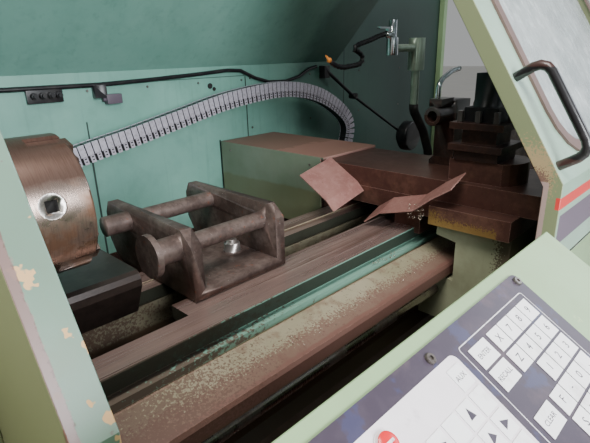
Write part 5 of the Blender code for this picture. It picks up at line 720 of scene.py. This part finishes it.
def grow(name, start, tree, values, smooth=None):
    """Runs a tree on a starting object and keeps what it makes as a plain mesh."""
    modifier = start.modifiers.new(name, "NODES")
    modifier.node_group = tree
    for item in tree.interface.items_tree:
        if item.item_type == "SOCKET" and item.in_out == "INPUT" and item.name in values:
            modifier[item.identifier] = values[item.name]
    depsgraph = bpy.context.evaluated_depsgraph_get()
    mesh = bpy.data.meshes.new_from_object(start.evaluated_get(depsgraph), depsgraph=depsgraph)
    start.modifiers.clear()
    bpy.data.objects.remove(start)
    if smooth:
        soften(mesh, smooth)
    return put(name, mesh)


def start_points(name, places):
    """Bare points that each carry the way their piece faces."""
    data = bpy.data.meshes.new(name)
    data.from_pydata([spot for spot, _ in places], [], [])
    facing = data.attributes.new("facing", "FLOAT_VECTOR", "POINT")
    facing.data.foreach_set("vector", [c for _, way in places for c in way])
    return put(name, data)


def facing_turn(tree):
    """Turn that lays a piece's Z along the way its point faces."""
    facing = add(tree, "GeometryNodeInputNamedAttribute", {"data_type": "FLOAT_VECTOR", "Name": "facing"})
    return add(tree, "FunctionNodeAlignRotationToVector", {"axis": "Z"},
               {"Vector": facing.outputs[0]}).outputs[0]


def made_real(tree, placed, look):
    """The tree's last steps: instances become real geometry and wear a finish."""
    real = add(tree, "GeometryNodeRealizeInstances", None, {0: placed})
    return add(tree, "GeometryNodeSetMaterial", {"Material": look}, {"Geometry": real.outputs[0]}).outputs[0]


print("growing tools ready")

# %% [markdown]
# The cable conduit is a chain of links: a dark nylon core with a zinc plated plate on each side.
# Every plate has a seam to its neighbour and a small slot low on its side.
# The chain bends between the machine and the carriage.

# %% Cable conduit
CONDUIT_START, CONDUIT_UNIT, CONDUIT_Y = (-0.9127, 0.775), 0.062, 0.711
CONDUIT_ROUTE = ((0, 2.50), (1.9, 3.30), (4.2, 4.60), (7.1, 5.30), (9.7, 5.79), (12.7, 6.42), (15.8, 7.05),
                 (19.4, 7.40), (22.0, 7.25), (24.3, 6.60), (26.3, 5.45), (27.15, 4.35), (26.9, 3.0),
                 (25.9, 1.4), (24.2, 0.30), (22.6, 0), (19.0, 0), (17.6, 0))
ROUTE_STEPS = 6


def smooth_route(shares, steps):
    """Points of a smooth curve through the shares, as the conduit's source has them."""
    padded = [shares[0], *shares, shares[-1]]
    for a, b, c, d in zip(padded, padded[1:], padded[2:], padded[3:]):
        for step in range(steps):
            t = step / steps
            yield tuple(0.5 * (2 * b[i] + (c[i] - a[i]) * t + (2 * a[i] - 5 * b[i] + 4 * c[i] - d[i]) * t * t
                               + (3 * b[i] - a[i] - 3 * c[i] + d[i]) * t ** 3) for i in (0, 1))
    yield shares[-1]


route = [(CONDUIT_START[0] + CONDUIT_UNIT * a, CONDUIT_Y, CONDUIT_START[1] + CONDUIT_UNIT * b)
         for a, b in smooth_route(CONDUIT_ROUTE, ROUTE_STEPS)]
route_data = bpy.data.meshes.new("conduit_route")
route_data.from_pydata(route, [(i, i + 1) for i in range(len(route) - 1)], [])
conduit_route = put("conduit_route", route_data)

LINK_PITCH = 0.0215
tree, sizes, leave = new_tree("conduit_chain",
                              {"Pitch": LINK_PITCH, "Height": 0.060, "Width": 0.040, "Plate": 0.003})
curve = add(tree, "GeometryNodeMeshToCurve", None, {0: sizes["Geometry"]})
stations = add(tree, "GeometryNodeResampleCurve", {"mode": "LENGTH"},
               {"Curve": curve.outputs[0], "Length": sizes["Pitch"]})
tangent = add(tree, "GeometryNodeInputTangent")
aligned = add(tree, "FunctionNodeAlignRotationToVector", {"axis": "X", "pivot_axis": "Y"},
              {"Vector": tangent.outputs[0]})


def block(pitch_share, across, across_share, height_share, shift=(0, 0, 0)):
    """One block of a link, with its sizes as shares of the tree's inputs."""
    shares = (("Pitch", pitch_share), (across, across_share), ("Height", height_share))
    size = add(tree, "ShaderNodeCombineXYZ", None,
               {axis: product(tree, sizes[label], share) for axis, (label, share) in enumerate(shares)})
    cube = add(tree, "GeometryNodeMeshCube", None, {"Size": size.outputs[0]})
    return add(tree, "GeometryNodeTransform", {"Translation": shift}, {0: cube.outputs[0]}).outputs[0]


def joined(parts):
    """Several pieces of geometry as one."""
    join = add(tree, "GeometryNodeJoinGeometry")
    for part in parts:
        tree.links.new(part, join.inputs[0])
    return join.outputs[0]


# Each plate and slot: share of pitch, of plate and of height, then its shift along, outward and up, in metres
PLATES = ((0.85, 0.8, 0.60, 0.0, 0.0188, 0.0115), (0.62, 0.8, 0.36, 0.002, 0.0184, -0.0185))
SLOTS = ((0.30, 0.9, 0.055, 0.002, 0.01875, -0.012), (0.26, 0.9, 0.055, 0.002, 0.01875, -0.021))
BLOCKS_PER_LINK, FACES_PER_BLOCK = 2 + 2 * (len(PLATES) + len(SLOTS)), 6
core, bridge = block(0.80, "Width", 0.82, 0.94), block(1.04, "Width", 0.74, 0.86)
plates, slots = ([block(a, "Plate", b, c, (along, side * out, up)) for side in (-1, 1)
                  for a, b, c, along, out, up in table] for table in (PLATES, SLOTS))
marked = add(tree, "GeometryNodeStoreNamedAttribute",
             {"data_type": "BOOLEAN", "domain": "FACE", "Name": "zinc", "Value": True},
             {"Geometry": joined(plates)}).outputs[0]
chain = add(tree, "GeometryNodeInstanceOnPoints", None,
            {"Points": stations.outputs[0], "Instance": joined([core, bridge, marked] + slots),
             "Rotation": aligned.outputs[0]})
nylon = made_real(tree, chain.outputs[0], link_nylon)
zinc = add(tree, "GeometryNodeInputNamedAttribute", {"data_type": "BOOLEAN", "Name": "zinc"})
plated = add(tree, "GeometryNodeSetMaterial", {"Material": link_steel},
             {"Geometry": nylon, "Selection": zinc.outputs[0]})
tree.links.new(plated.outputs[0], leave.inputs[0])
conduit_chain = grow("conduit_chain", conduit_route, tree, {"Pitch": LINK_PITCH})
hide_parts("cable_conduit")
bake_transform(conduit_chain)
print("conduit links", len(conduit_chain.data.polygons) // (BLOCKS_PER_LINK * FACES_PER_BLOCK))

# %% [markdown]
# The control console carries a printed plate with a membrane of raised keys.
# Its print is laid on as thin sheets in the plate's own measure: across, down the slope, and rise above it.
# The legends are plain numbers, axis letters and words that any control of this kind has.

# %% Console print
CONSOLE_ORIGIN = Vector((-0.496, -0.563, 1.181))
CONSOLE_SLOPE = math.radians(31.2)
PLATE_RISE, KEY_RISE, PRINT_RISE = 0.002, 0.0006, 0.00008
KEY_PITCH, FIRST_KEY = 0.0187, (0.148, 0.0411)
ACROSS = Vector((-1, 0, 0))
DOWN_SLOPE = Vector((0, -math.cos(CONSOLE_SLOPE), -math.sin(CONSOLE_SLOPE)))
OUT_OF_PLATE = Vector((0, -math.sin(CONSOLE_SLOPE), math.cos(CONSOLE_SLOPE)))


def console_point(u, v, rise):
    """Place of a point on the console: across from its right end, down its slope, and above it."""
    return CONSOLE_ORIGIN + ACROSS * u + DOWN_SLOPE * v + OUT_OF_PLATE * rise


def rounded(u0, v0, u1, v1, radius, steps=5):
    """Outline of a rectangle with rounded corners."""
    corners = ((u1 - radius, v1 - radius, 0), (u0 + radius, v1 - radius, 90), (u0 + radius, v0 + radius, 180),
               (u1 - radius, v0 + radius, 270))
    return [(u + radius * math.cos(math.radians(first + 90 * i / steps)),
             v + radius * math.sin(math.radians(first + 90 * i / steps)))
            for u, v, first in corners for i in range(steps + 1)]


def printed(name, shapes, rise, look, body="machine"):
    """Thin sheets of print; a shape is one outline, or an outer and an inner one for a line."""
    mesh = bmesh.new()
    for loops in shapes:
        rings = [[mesh.verts.new(console_point(u, v, rise)) for u, v in loop] for loop in loops]
        if len(rings) == 1:
            mesh.faces.new(rings[0])
        else:
            count = len(rings[0])
            for i in range(count):
                mesh.faces.new((rings[0][i], rings[0][(i + 1) % count], rings[1][(i + 1) % count],
                                rings[1][i]))
    for face in mesh.faces:
        face.normal_update()
        if face.normal.dot(OUT_OF_PLATE) < 0:
            face.normal_flip()
    sheet = from_bmesh(name, mesh, look)
    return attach(sheet, body)


def lettering(name, words, rise, look, tall):
    """Legends as flat shapes: each is a word with the place of its middle."""
    mesh = bmesh.new()
    frame_axes = Matrix((-ACROSS, -DOWN_SLOPE, OUT_OF_PLATE)).transposed().to_4x4()
    for word, u, v, scale in words:
        text = bpy.data.curves.new(name, "FONT")
        text.body = word
        text.size = tall * scale
        text.resolution_u = 3
        text.align_x, text.align_y = "CENTER", "CENTER"
        holder = put(name, text)
        flat = holder.to_mesh()
        flat.transform(Matrix.Translation(console_point(u, v, rise)) @ frame_axes)
        mesh.from_mesh(flat)
        holder.to_mesh_clear()
        bpy.data.objects.remove(holder)
    made = from_bmesh(name, mesh, look)
    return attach(made, "machine")


def height_along(look, way):
    """How far each point lies along a direction, in metres."""
    node = add(look.node_tree, "ShaderNodeVectorMath", {"operation": "DOT_PRODUCT", 1: way}, {0: place(look)})
    return node.outputs["Value"]


face_height = OUT_OF_PLATE.dot(CONSOLE_ORIGIN) + PLATE_RISE
plate_tree = plate_film.node_tree
key_faces = ramp(plate_tree, height_along(plate_film, OUT_OF_PLATE), face_height + 0.35 * KEY_RISE,
                 face_height + 0.45 * KEY_RISE)
cover(plate_film, key_faces, 1.0, "#F6F5F7", 0.34)
rubbed_keys = product(plate_tree, patches(plate_film, 17, 0.55, 0.72, detail=7.0), key_faces)
cover(plate_film, rubbed_keys, 0.35, "#A89C98", 0.5)

print_white = finish("white_screen_print", "#E4E2E6", "#CFCBD0", 20, 0.45)
spots(print_white, 5, 0.6, 0.66, 0.5, "#8F8490", 0.5)
print_grey = finish("light_grey_screen_print", "#EDE6EB", "#E2DADF", 60, 0.42)
spots(print_grey, 24, 0.56, 0.68, 0.4, "#A0949A", 0.5, 8.0)
print_dark = finish("dark_screen_print", "#3A3440", "#48424E", 20, 0.5)
above_plate, above_keys = PLATE_RISE + PRINT_RISE, PLATE_RISE + KEY_RISE + PRINT_RISE
# Outlines on the plate in metres: across and down from its right upper corner, to across and down
SUB_PANEL, NUMBER_BLOCK = (0.2548, 0.0267, 0.5555, 0.348), (0.1345, 0.0270, 0.2480, 0.1800)
SUB_PANEL_CORNER, BLOCK_CORNER, LINE = 0.006, 0.003, 0.0008
printed("light_sub_panel", [[rounded(*SUB_PANEL, SUB_PANEL_CORNER)]], above_plate, print_grey)
outer = rounded(*NUMBER_BLOCK, BLOCK_CORNER)
inner = rounded(*(edge + way * LINE for edge, way in zip(NUMBER_BLOCK, (1, 1, -1, -1))), BLOCK_CORNER - LINE)
printed("number_block_line", [[outer, inner]], above_plate, print_white)
# The stop key's middle, and half the width and height of its bar
STOP_KEY, BAR, BAR_CORNER = (0.3487, 0.0388), (0.0034, 0.0009), 0.0006
key_top = max(OUT_OF_PLATE.dot(corner.co - CONSOLE_ORIGIN) for corner in nodes["stop_button"].data.vertices)
bar_outline = rounded(STOP_KEY[0] - BAR[0], STOP_KEY[1] - BAR[1], STOP_KEY[0] + BAR[0], STOP_KEY[1] + BAR[1],
                      BAR_CORNER)
printed("stop_key_bar", [[bar_outline]], key_top + PRINT_RISE, print_white, "stop_button")


def key_place(column, row):
    """Middle of a key from its column and row."""
    return (FIRST_KEY[0] + KEY_PITCH * column, FIRST_KEY[1] + KEY_PITCH * row)


# Legends by key rows; the last number of each is its size as a share of a full letter
NUMBER_ROWS = ("987X", "654Z", "321 ", ".0-F", "GMTS", "NPRD", "LUWQ")
legends = [(sign, *key_place(column, row), 1.0) for row, signs in enumerate(NUMBER_ROWS)
           for column, sign in enumerate(signs) if sign != " "]
legends += [(word, *key_place(4.39, row), 0.62) for word, row in (("ENTER", 0), ("RECALL", 1), ("CLEAR", 3))]
legends.append(("AUX", *key_place(6.31, 0), 0.62))
JOG_FIRST, JOG_STEP = (6.31, 1.0), 0.945
legends += [(f"F{1 + c + 4 * r}", *key_place(JOG_FIRST[0] + JOG_STEP * c, JOG_FIRST[1] + JOG_STEP * r), 0.6)
            for c in range(4) for r in (3, 4)]
legends += [(str(1 + c + 6 * r), *key_place(6.6 + c, 7.6 + r), 0.7) for c in range(6) for r in range(7)]
legends += [(chr(ord("A") + (c + 4 * r) % 26), *key_place(14.5 + c, 1 + r), 0.8)
            for c in range(4) for r in range(12)]
LETTER_SIZE = 0.0088
lettering("key_legends", legends, above_keys, print_dark, LETTER_SIZE)


def arrow(column, row, turn, reach=0.0045):
    """A small triangle on a jog key."""
    middle = key_place(column, row)
    angles = [math.radians(turn + a) for a in (0, 130, 230)]
    return [[(middle[0] + reach * math.cos(angle), middle[1] + reach * math.sin(angle)) for angle in angles]]


jog = [arrow(JOG_FIRST[0] + JOG_STEP * c, JOG_FIRST[1] + JOG_STEP * r, turn)
       for c, r, turn in ((1, 0, 270), (0, 1, 180), (2, 1, 0), (1, 2, 90), (1, 1, 45), (3, 0, 315),
                          (3, 2, 135))]
printed("jog_arrows", jog, above_keys, print_dark)
print("legends", len(legends), "arrows", len(jog))

# %% [markdown]
# Screws hold every sheet of the guard. One turned head with a hexagon socket is grown on all of their places,
# each turned by a random angle, and there is one mesh for each body that carries them.

# %% Screws


SCREW_SHARP = 50


def screw_head(name, radius, height, socket):
    """A pan head screw with a hexagon socket, standing up from the origin."""
    mesh = bmesh.new()
    steps = 12
    profile = ((socket, height * 0.35), (socket, height), (radius * 0.82, height), (radius, height * 0.55),
               (radius, 0.0))
    rings = []
    for ring_radius, z in profile:
        ring = []
        for i in range(steps):
            angle = 2 * math.pi * i / steps
            reach = ring_radius
            if ring_radius == socket and i % 2:
                reach = socket * math.cos(math.radians(30))
            ring.append(mesh.verts.new((reach * math.cos(angle), reach * math.sin(angle), z)))
        rings.append(ring)
    mesh.faces.new(rings[0])
    for low, high in zip(rings, rings[1:]):
        for i in range(steps):
            mesh.faces.new((low[i], low[(i + 1) % steps], high[(i + 1) % steps], high[i]))
    return plain_mesh(name, mesh, screw_steel, SCREW_SHARP)


screw_steel = oily_metal("blackened_screw_steel", "#8A8480", "#4A423E", "#2A2422", 0.5, 0.35, (1, 1, 1), 2,
                         metal=0.8)
tree, sizes, leave = new_tree("screw_heads", {"Scale": 1.0}, ("Head",))
spin = add(tree, "FunctionNodeRandomValue", {"data_type": "FLOAT", 2: 0.0, 3: 2 * math.pi, 8: 7})
own_turn = add(tree, "ShaderNodeCombineXYZ", None, {2: spin.outputs[1]})
turned = add(tree, "FunctionNodeRotateRotation", {"rotation_space": "LOCAL"},
             {0: facing_turn(tree), 1: own_turn.outputs[0]})
head = add(tree, "GeometryNodeObjectInfo", None, {"Object": sizes["Head"]})
placed = add(tree, "GeometryNodeInstanceOnPoints", None,
             {"Points": sizes["Geometry"], "Instance": head.outputs["Geometry"],
              "Rotation": turned.outputs[0], "Scale": sizes["Scale"]})
tree.links.new(made_real(tree, placed.outputs[0], screw_steel), leave.inputs[0])


def between(start, end, count):
    """Evenly spaced places from start to end, both included."""
    return [tuple(Vector(start).lerp(Vector(end), i / (count - 1))) for i in range(count)]


WALL_FACE, WALL_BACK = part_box("rear_wall")[0].y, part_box("rear_wall")[1].y
panel_low, panel_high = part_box("front_panel")
lid_low, lid_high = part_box("slide_cover")
INSET = 0.02
toward_front, toward_back, to_left = (0, -1, 0), (0, 1, 0), (-1, 0, 0)
SHEET_SEAMS, SEAM_SCREWS = (0.268, 0.62, 0.98, 1.34), (1.28, 0.70)
PLATE_ROW, PLATE_ROW_ENDS = 1.275, (-0.385, 0.225)
BACK_ROWS, BACK_ROW_ENDS = (0.66, 1.24, 1.82), (-0.80, 1.68)
machine_screws = [(spot, toward_front) for x in SHEET_SEAMS
                  for spot in between(*((x, WALL_FACE, z) for z in SEAM_SCREWS), 4)]
plate_row = [(x, WALL_FACE, PLATE_ROW) for x in PLATE_ROW_ENDS]
machine_screws += [(spot, toward_front) for spot in between(*plate_row, 4)]
machine_screws += [(spot, toward_back) for z in BACK_ROWS
                   for spot in between(*((x, WALL_BACK, z) for x in BACK_ROW_ENDS), 10)]
machine_screws += [(spot, toward_front) for z in (panel_low.z + INSET, panel_high.z - 2 * INSET)
                   for spot in between((panel_low.x + INSET, panel_low.y, z),
                                       (panel_high.x - INSET, panel_low.y, z), 9)]
PLATE_SCREWS = ((0.1247, 0.0194), (0.2757, 0.0204), (0.1247, 0.3440), (0.5520, 0.0204), (0.5520, 0.3440))
machine_screws += [(tuple(console_point(u, v, PLATE_RISE)), tuple(OUT_OF_PLATE)) for u, v in PLATE_SCREWS]
LID_SCREWS, LID_INSET = (0.33, 0.74), 0.03
carriage_screws = [((lid_low.x, y, z), to_left) for y in LID_SCREWS
                   for z in (lid_high.z - LID_INSET, lid_low.z + LID_INSET)]
for body, places, radius in (("machine", machine_screws, 0.0042), ("carriage", carriage_screws, 0.0036)):
    head_shape = screw_head("screw_head", radius, radius * 0.5, radius * 0.45)
    start = start_points(body + "_screw_places", places)
    heads = grow(body + "_screws", start, tree, {"Head": head_shape}, SCREW_SHARP)
    bpy.data.objects.remove(head_shape)
    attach(heads, body)
print("screws", len(machine_screws) + len(carriage_screws))

# %% [markdown]
# Chips of swarf lie where the slide has swept them. A curl is a spiral drawn into a thin ribbon;
# the tree strews curls of several sizes over a patch, from a fixed seed.

# %% Swarf


def swarf(name, body, low, high, count, reach, seed):
    """Curls strewn over a level patch between two corners."""
    rng = random.Random(seed)
    places = []
    for _ in range(count):
        spot = tuple(rng.uniform(a, b) for a, b in zip(low, high))
        places.append((spot, (rng.uniform(-1, 1), rng.uniform(-1, 1), rng.uniform(0.1, 1))))
    made = grow(name, start_points(name, places), swarf_tree, {"Reach": reach})
    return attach(made, body)


swarf_steel = oily_metal("blue_brown_swarf", "#B8A898", "#6A5648", "#3E342E", 0.4, 0.25, (1, 1, 1), 3,
                         metal=0.8)
swarf_tree, sizes, leave = new_tree("swarf_curls", {"Reach": 0.006})
inner_turn = product(swarf_tree, sizes["Reach"], 0.35)
long_way = product(swarf_tree, sizes["Reach"], 1.6)
spiral = add(swarf_tree, "GeometryNodeCurveSpiral", {"Resolution": 10, "Rotations": 1.6},
             {"Start Radius": inner_turn, "End Radius": sizes["Reach"], "Height": long_way})
ribbon = add(swarf_tree, "GeometryNodeCurvePrimitiveQuadrilateral", {"Width": 0.0011, "Height": 0.00018})
curl = add(swarf_tree, "GeometryNodeCurveToMesh", None, {0: spiral.outputs[0], 1: ribbon.outputs[0]})
grade = add(swarf_tree, "FunctionNodeRandomValue", {"data_type": "FLOAT", 2: 0.35, 3: 1.0, 8: 3})
strewn = add(swarf_tree, "GeometryNodeInstanceOnPoints", None,
             {"Points": sizes["Geometry"], "Instance": curl.outputs[0], "Rotation": facing_turn(swarf_tree),
              "Scale": grade.outputs[1]})
swarf_tree.links.new(made_real(swarf_tree, strewn.outputs[0], swarf_steel), leave.inputs[0])
swarf("carriage_swarf", "carriage", (0.040, -0.122, 0.945), (0.052, -0.07, 0.985), 26, 0.005, 11)
swarf("ledge_swarf", "machine", (-0.10, -0.078, LEDGE_TOP + 0.004), (0.02, -0.066, LEDGE_TOP + 0.006), 16,
      0.004, 5)
swarf("shoulder_swarf", "machine", (-0.5, -0.165, 0.8385), (-0.05, -0.13, 0.8465), 26, 0.0028, 8)
print("swarf strewn")

# %% [markdown]
# Small fittings: four cable glands on their box, a connector box and two plugs on the bay wall,
# the lens of the work lamp, and the locks of the cabinet door.

# %% Fittings


def solid_block(mesh, low, high, round_mm=1.0):
    """Adds a block with rounded edges between two corners."""
    made = bmesh.ops.create_cube(mesh, size=1.0)["verts"]
    size = Vector(high) - Vector(low)
    middle = (Vector(high) + Vector(low)) / 2
    for vert in made:
        vert.co = Vector((vert.co.x * size.x, vert.co.y * size.y, vert.co.z * size.z)) + middle
    edges = list({edge for vert in made for edge in vert.link_edges})
    bmesh.ops.bevel(mesh, geom=edges, offset=round_mm / 1000, segments=2, affect="EDGES", profile=0.7)


def turned_piece(mesh, start, end, radius, steps=24):
    """Adds a round bar from start to end."""
    axis = Vector(end) - Vector(start)
    made = bmesh.ops.create_cone(mesh, cap_ends=True, segments=steps, radius1=radius, radius2=radius,
                                 depth=axis.length)
    middle = Matrix.Translation((Vector(start) + Vector(end)) / 2)
    lie = axis.to_track_quat("Z", "Y").to_matrix().to_4x4()
    bmesh.ops.transform(mesh, matrix=middle @ lie, verts=made["verts"])


def fitted(name, mesh, look, body="machine"):
    """Finishes a fitting and lets it ride on its body."""
    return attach(plain_mesh(name, mesh, look, 40), body)


def off_wall(x, z, out):
    """A place in front of the bay wall."""
    return (x, WALL_FACE - out, z)


WALL_GAP, BOX_ROUND = 0.0004, 3.0
GLANDS, GLAND_Z, COLLAR = (-0.545, -0.522, -0.499, -0.478), 1.272, 0.030
glands = bmesh.new()
for x in GLANDS:
    turned_piece(glands, off_wall(x, GLAND_Z, 0.0005), off_wall(x, GLAND_Z, COLLAR), 0.0085)
    turned_piece(glands, off_wall(x, GLAND_Z, COLLAR), off_wall(x, GLAND_Z, 0.040), 0.0060)
solid_block(glands, off_wall(-0.562, 1.250, 0.012), off_wall(-0.462, 1.296, WALL_GAP), BOX_ROUND)
fitted("cable_glands", glands, black_plastic)
connector = bmesh.new()
solid_block(connector, off_wall(-0.336, 1.232, 0.024), off_wall(-0.286, 1.262, WALL_GAP), BOX_ROUND)
turned_piece(connector, off_wall(-0.345, 1.247, 0.012), off_wall(-0.336, 1.247, 0.012), 0.007)
fitted("connector_box", connector, moulded("connector_grey_purple", "#5A505C", "#7A7078", 0.4))
plugs = bmesh.new()
for x, z, out, radius in ((0.072, 1.262, 0.004, 0.010), (0.090, 1.250, 0.003, 0.007)):
    turned_piece(plugs, off_wall(x, z, WALL_GAP), off_wall(x, z, out), radius)
fitted("wall_plug", plugs, black_rubber)
lamp_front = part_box("work_lamp")[0].y
LAMP_X, LAMP_Z, LENS_RADIUS = 1.166, 0.951, 0.058
lens = bmesh.new()
turned_piece(lens, (LAMP_X, lamp_front + 0.0012, LAMP_Z), (LAMP_X, lamp_front + 0.0002, LAMP_Z), LENS_RADIUS,
             40)
fitted("lamp_lens", lens, lamp_glass)
cabinet_low, cabinet_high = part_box("cabinet_door")
LOCK_INSET, LOCK_HEIGHT, LOCK_RADIUS = 0.035, 0.25, 0.012
locks = bmesh.new()
lock_x = cabinet_high.x - LOCK_INSET
for z in (cabinet_low.z + LOCK_HEIGHT, cabinet_high.z - LOCK_HEIGHT):
    turned_piece(locks, (lock_x, cabinet_high.y - 0.004, z), (lock_x, cabinet_high.y - 0.0002, z),
                 LOCK_RADIUS)
fitted("cabinet_locks", locks, black_plastic, "cabinet_door")
print("bay fittings done")

# %% [markdown]
# The door wears a red stripe and a dark field under its bend, and the tool post has grey bolt heads.
# The socket of the chuck's key pinion is painted near black inside, as painted shade in the hole.
# These are coats on the pieces themselves, laid on by zones.

# %% Stripe, field and bolt heads
STRIPE_LOW, STRIPE_HIGH, HALF_FADE = 1.054, 1.079, 0.0005
band(door_enamel, 1.0, "#D8403C", 0.4, ("Z", STRIPE_LOW - HALF_FADE, STRIPE_LOW + HALF_FADE),
     ("Z", STRIPE_HIGH + HALF_FADE, STRIPE_HIGH - HALF_FADE), ("Y", -0.4335, -0.4345))
band(door_enamel, 1.0, "#6A5E6C", 0.5, ("NY", -0.9, -0.95), ("Z", 1.040, 1.039), ("Z", 0.972, 0.973),
     ("X", 0.010, 0.011), ("X", 0.45, 0.449))
band(post_iron, 0.85, "#6E6A6A", 0.3, ("Z", 1.1975, 1.1985), metal=0.8)
band(dark_iron, 0.85, "#B4ACA8", 0.28, ("X", -0.402, -0.400), ("X", -0.348, -0.350), ("Y", 0.122, 0.124),
     ("Y", 0.178, 0.176), ("Z", 0.9255, 0.9265), metal=0.9)
PINION_ANGLE = math.radians(167)
PINION_WAY = Vector((0, math.cos(PINION_ANGLE), math.sin(PINION_ANGLE)))
pinion_face = max(vertex.co.dot(PINION_WAY) for vertex in nodes["chuck_pinion"].data.vertices)
# Painted shade: the inside of the pinion's socket is near black.
socket_shade = ramp(pinion_steel.node_tree, height_along(pinion_steel, PINION_WAY), pinion_face - 0.0006,
            pinion_face - 0.0016)
cover(pinion_steel, socket_shade, 0.97, "#0C0A0A", 0.7, 0.0)
print("stripe, heads and socket coated")
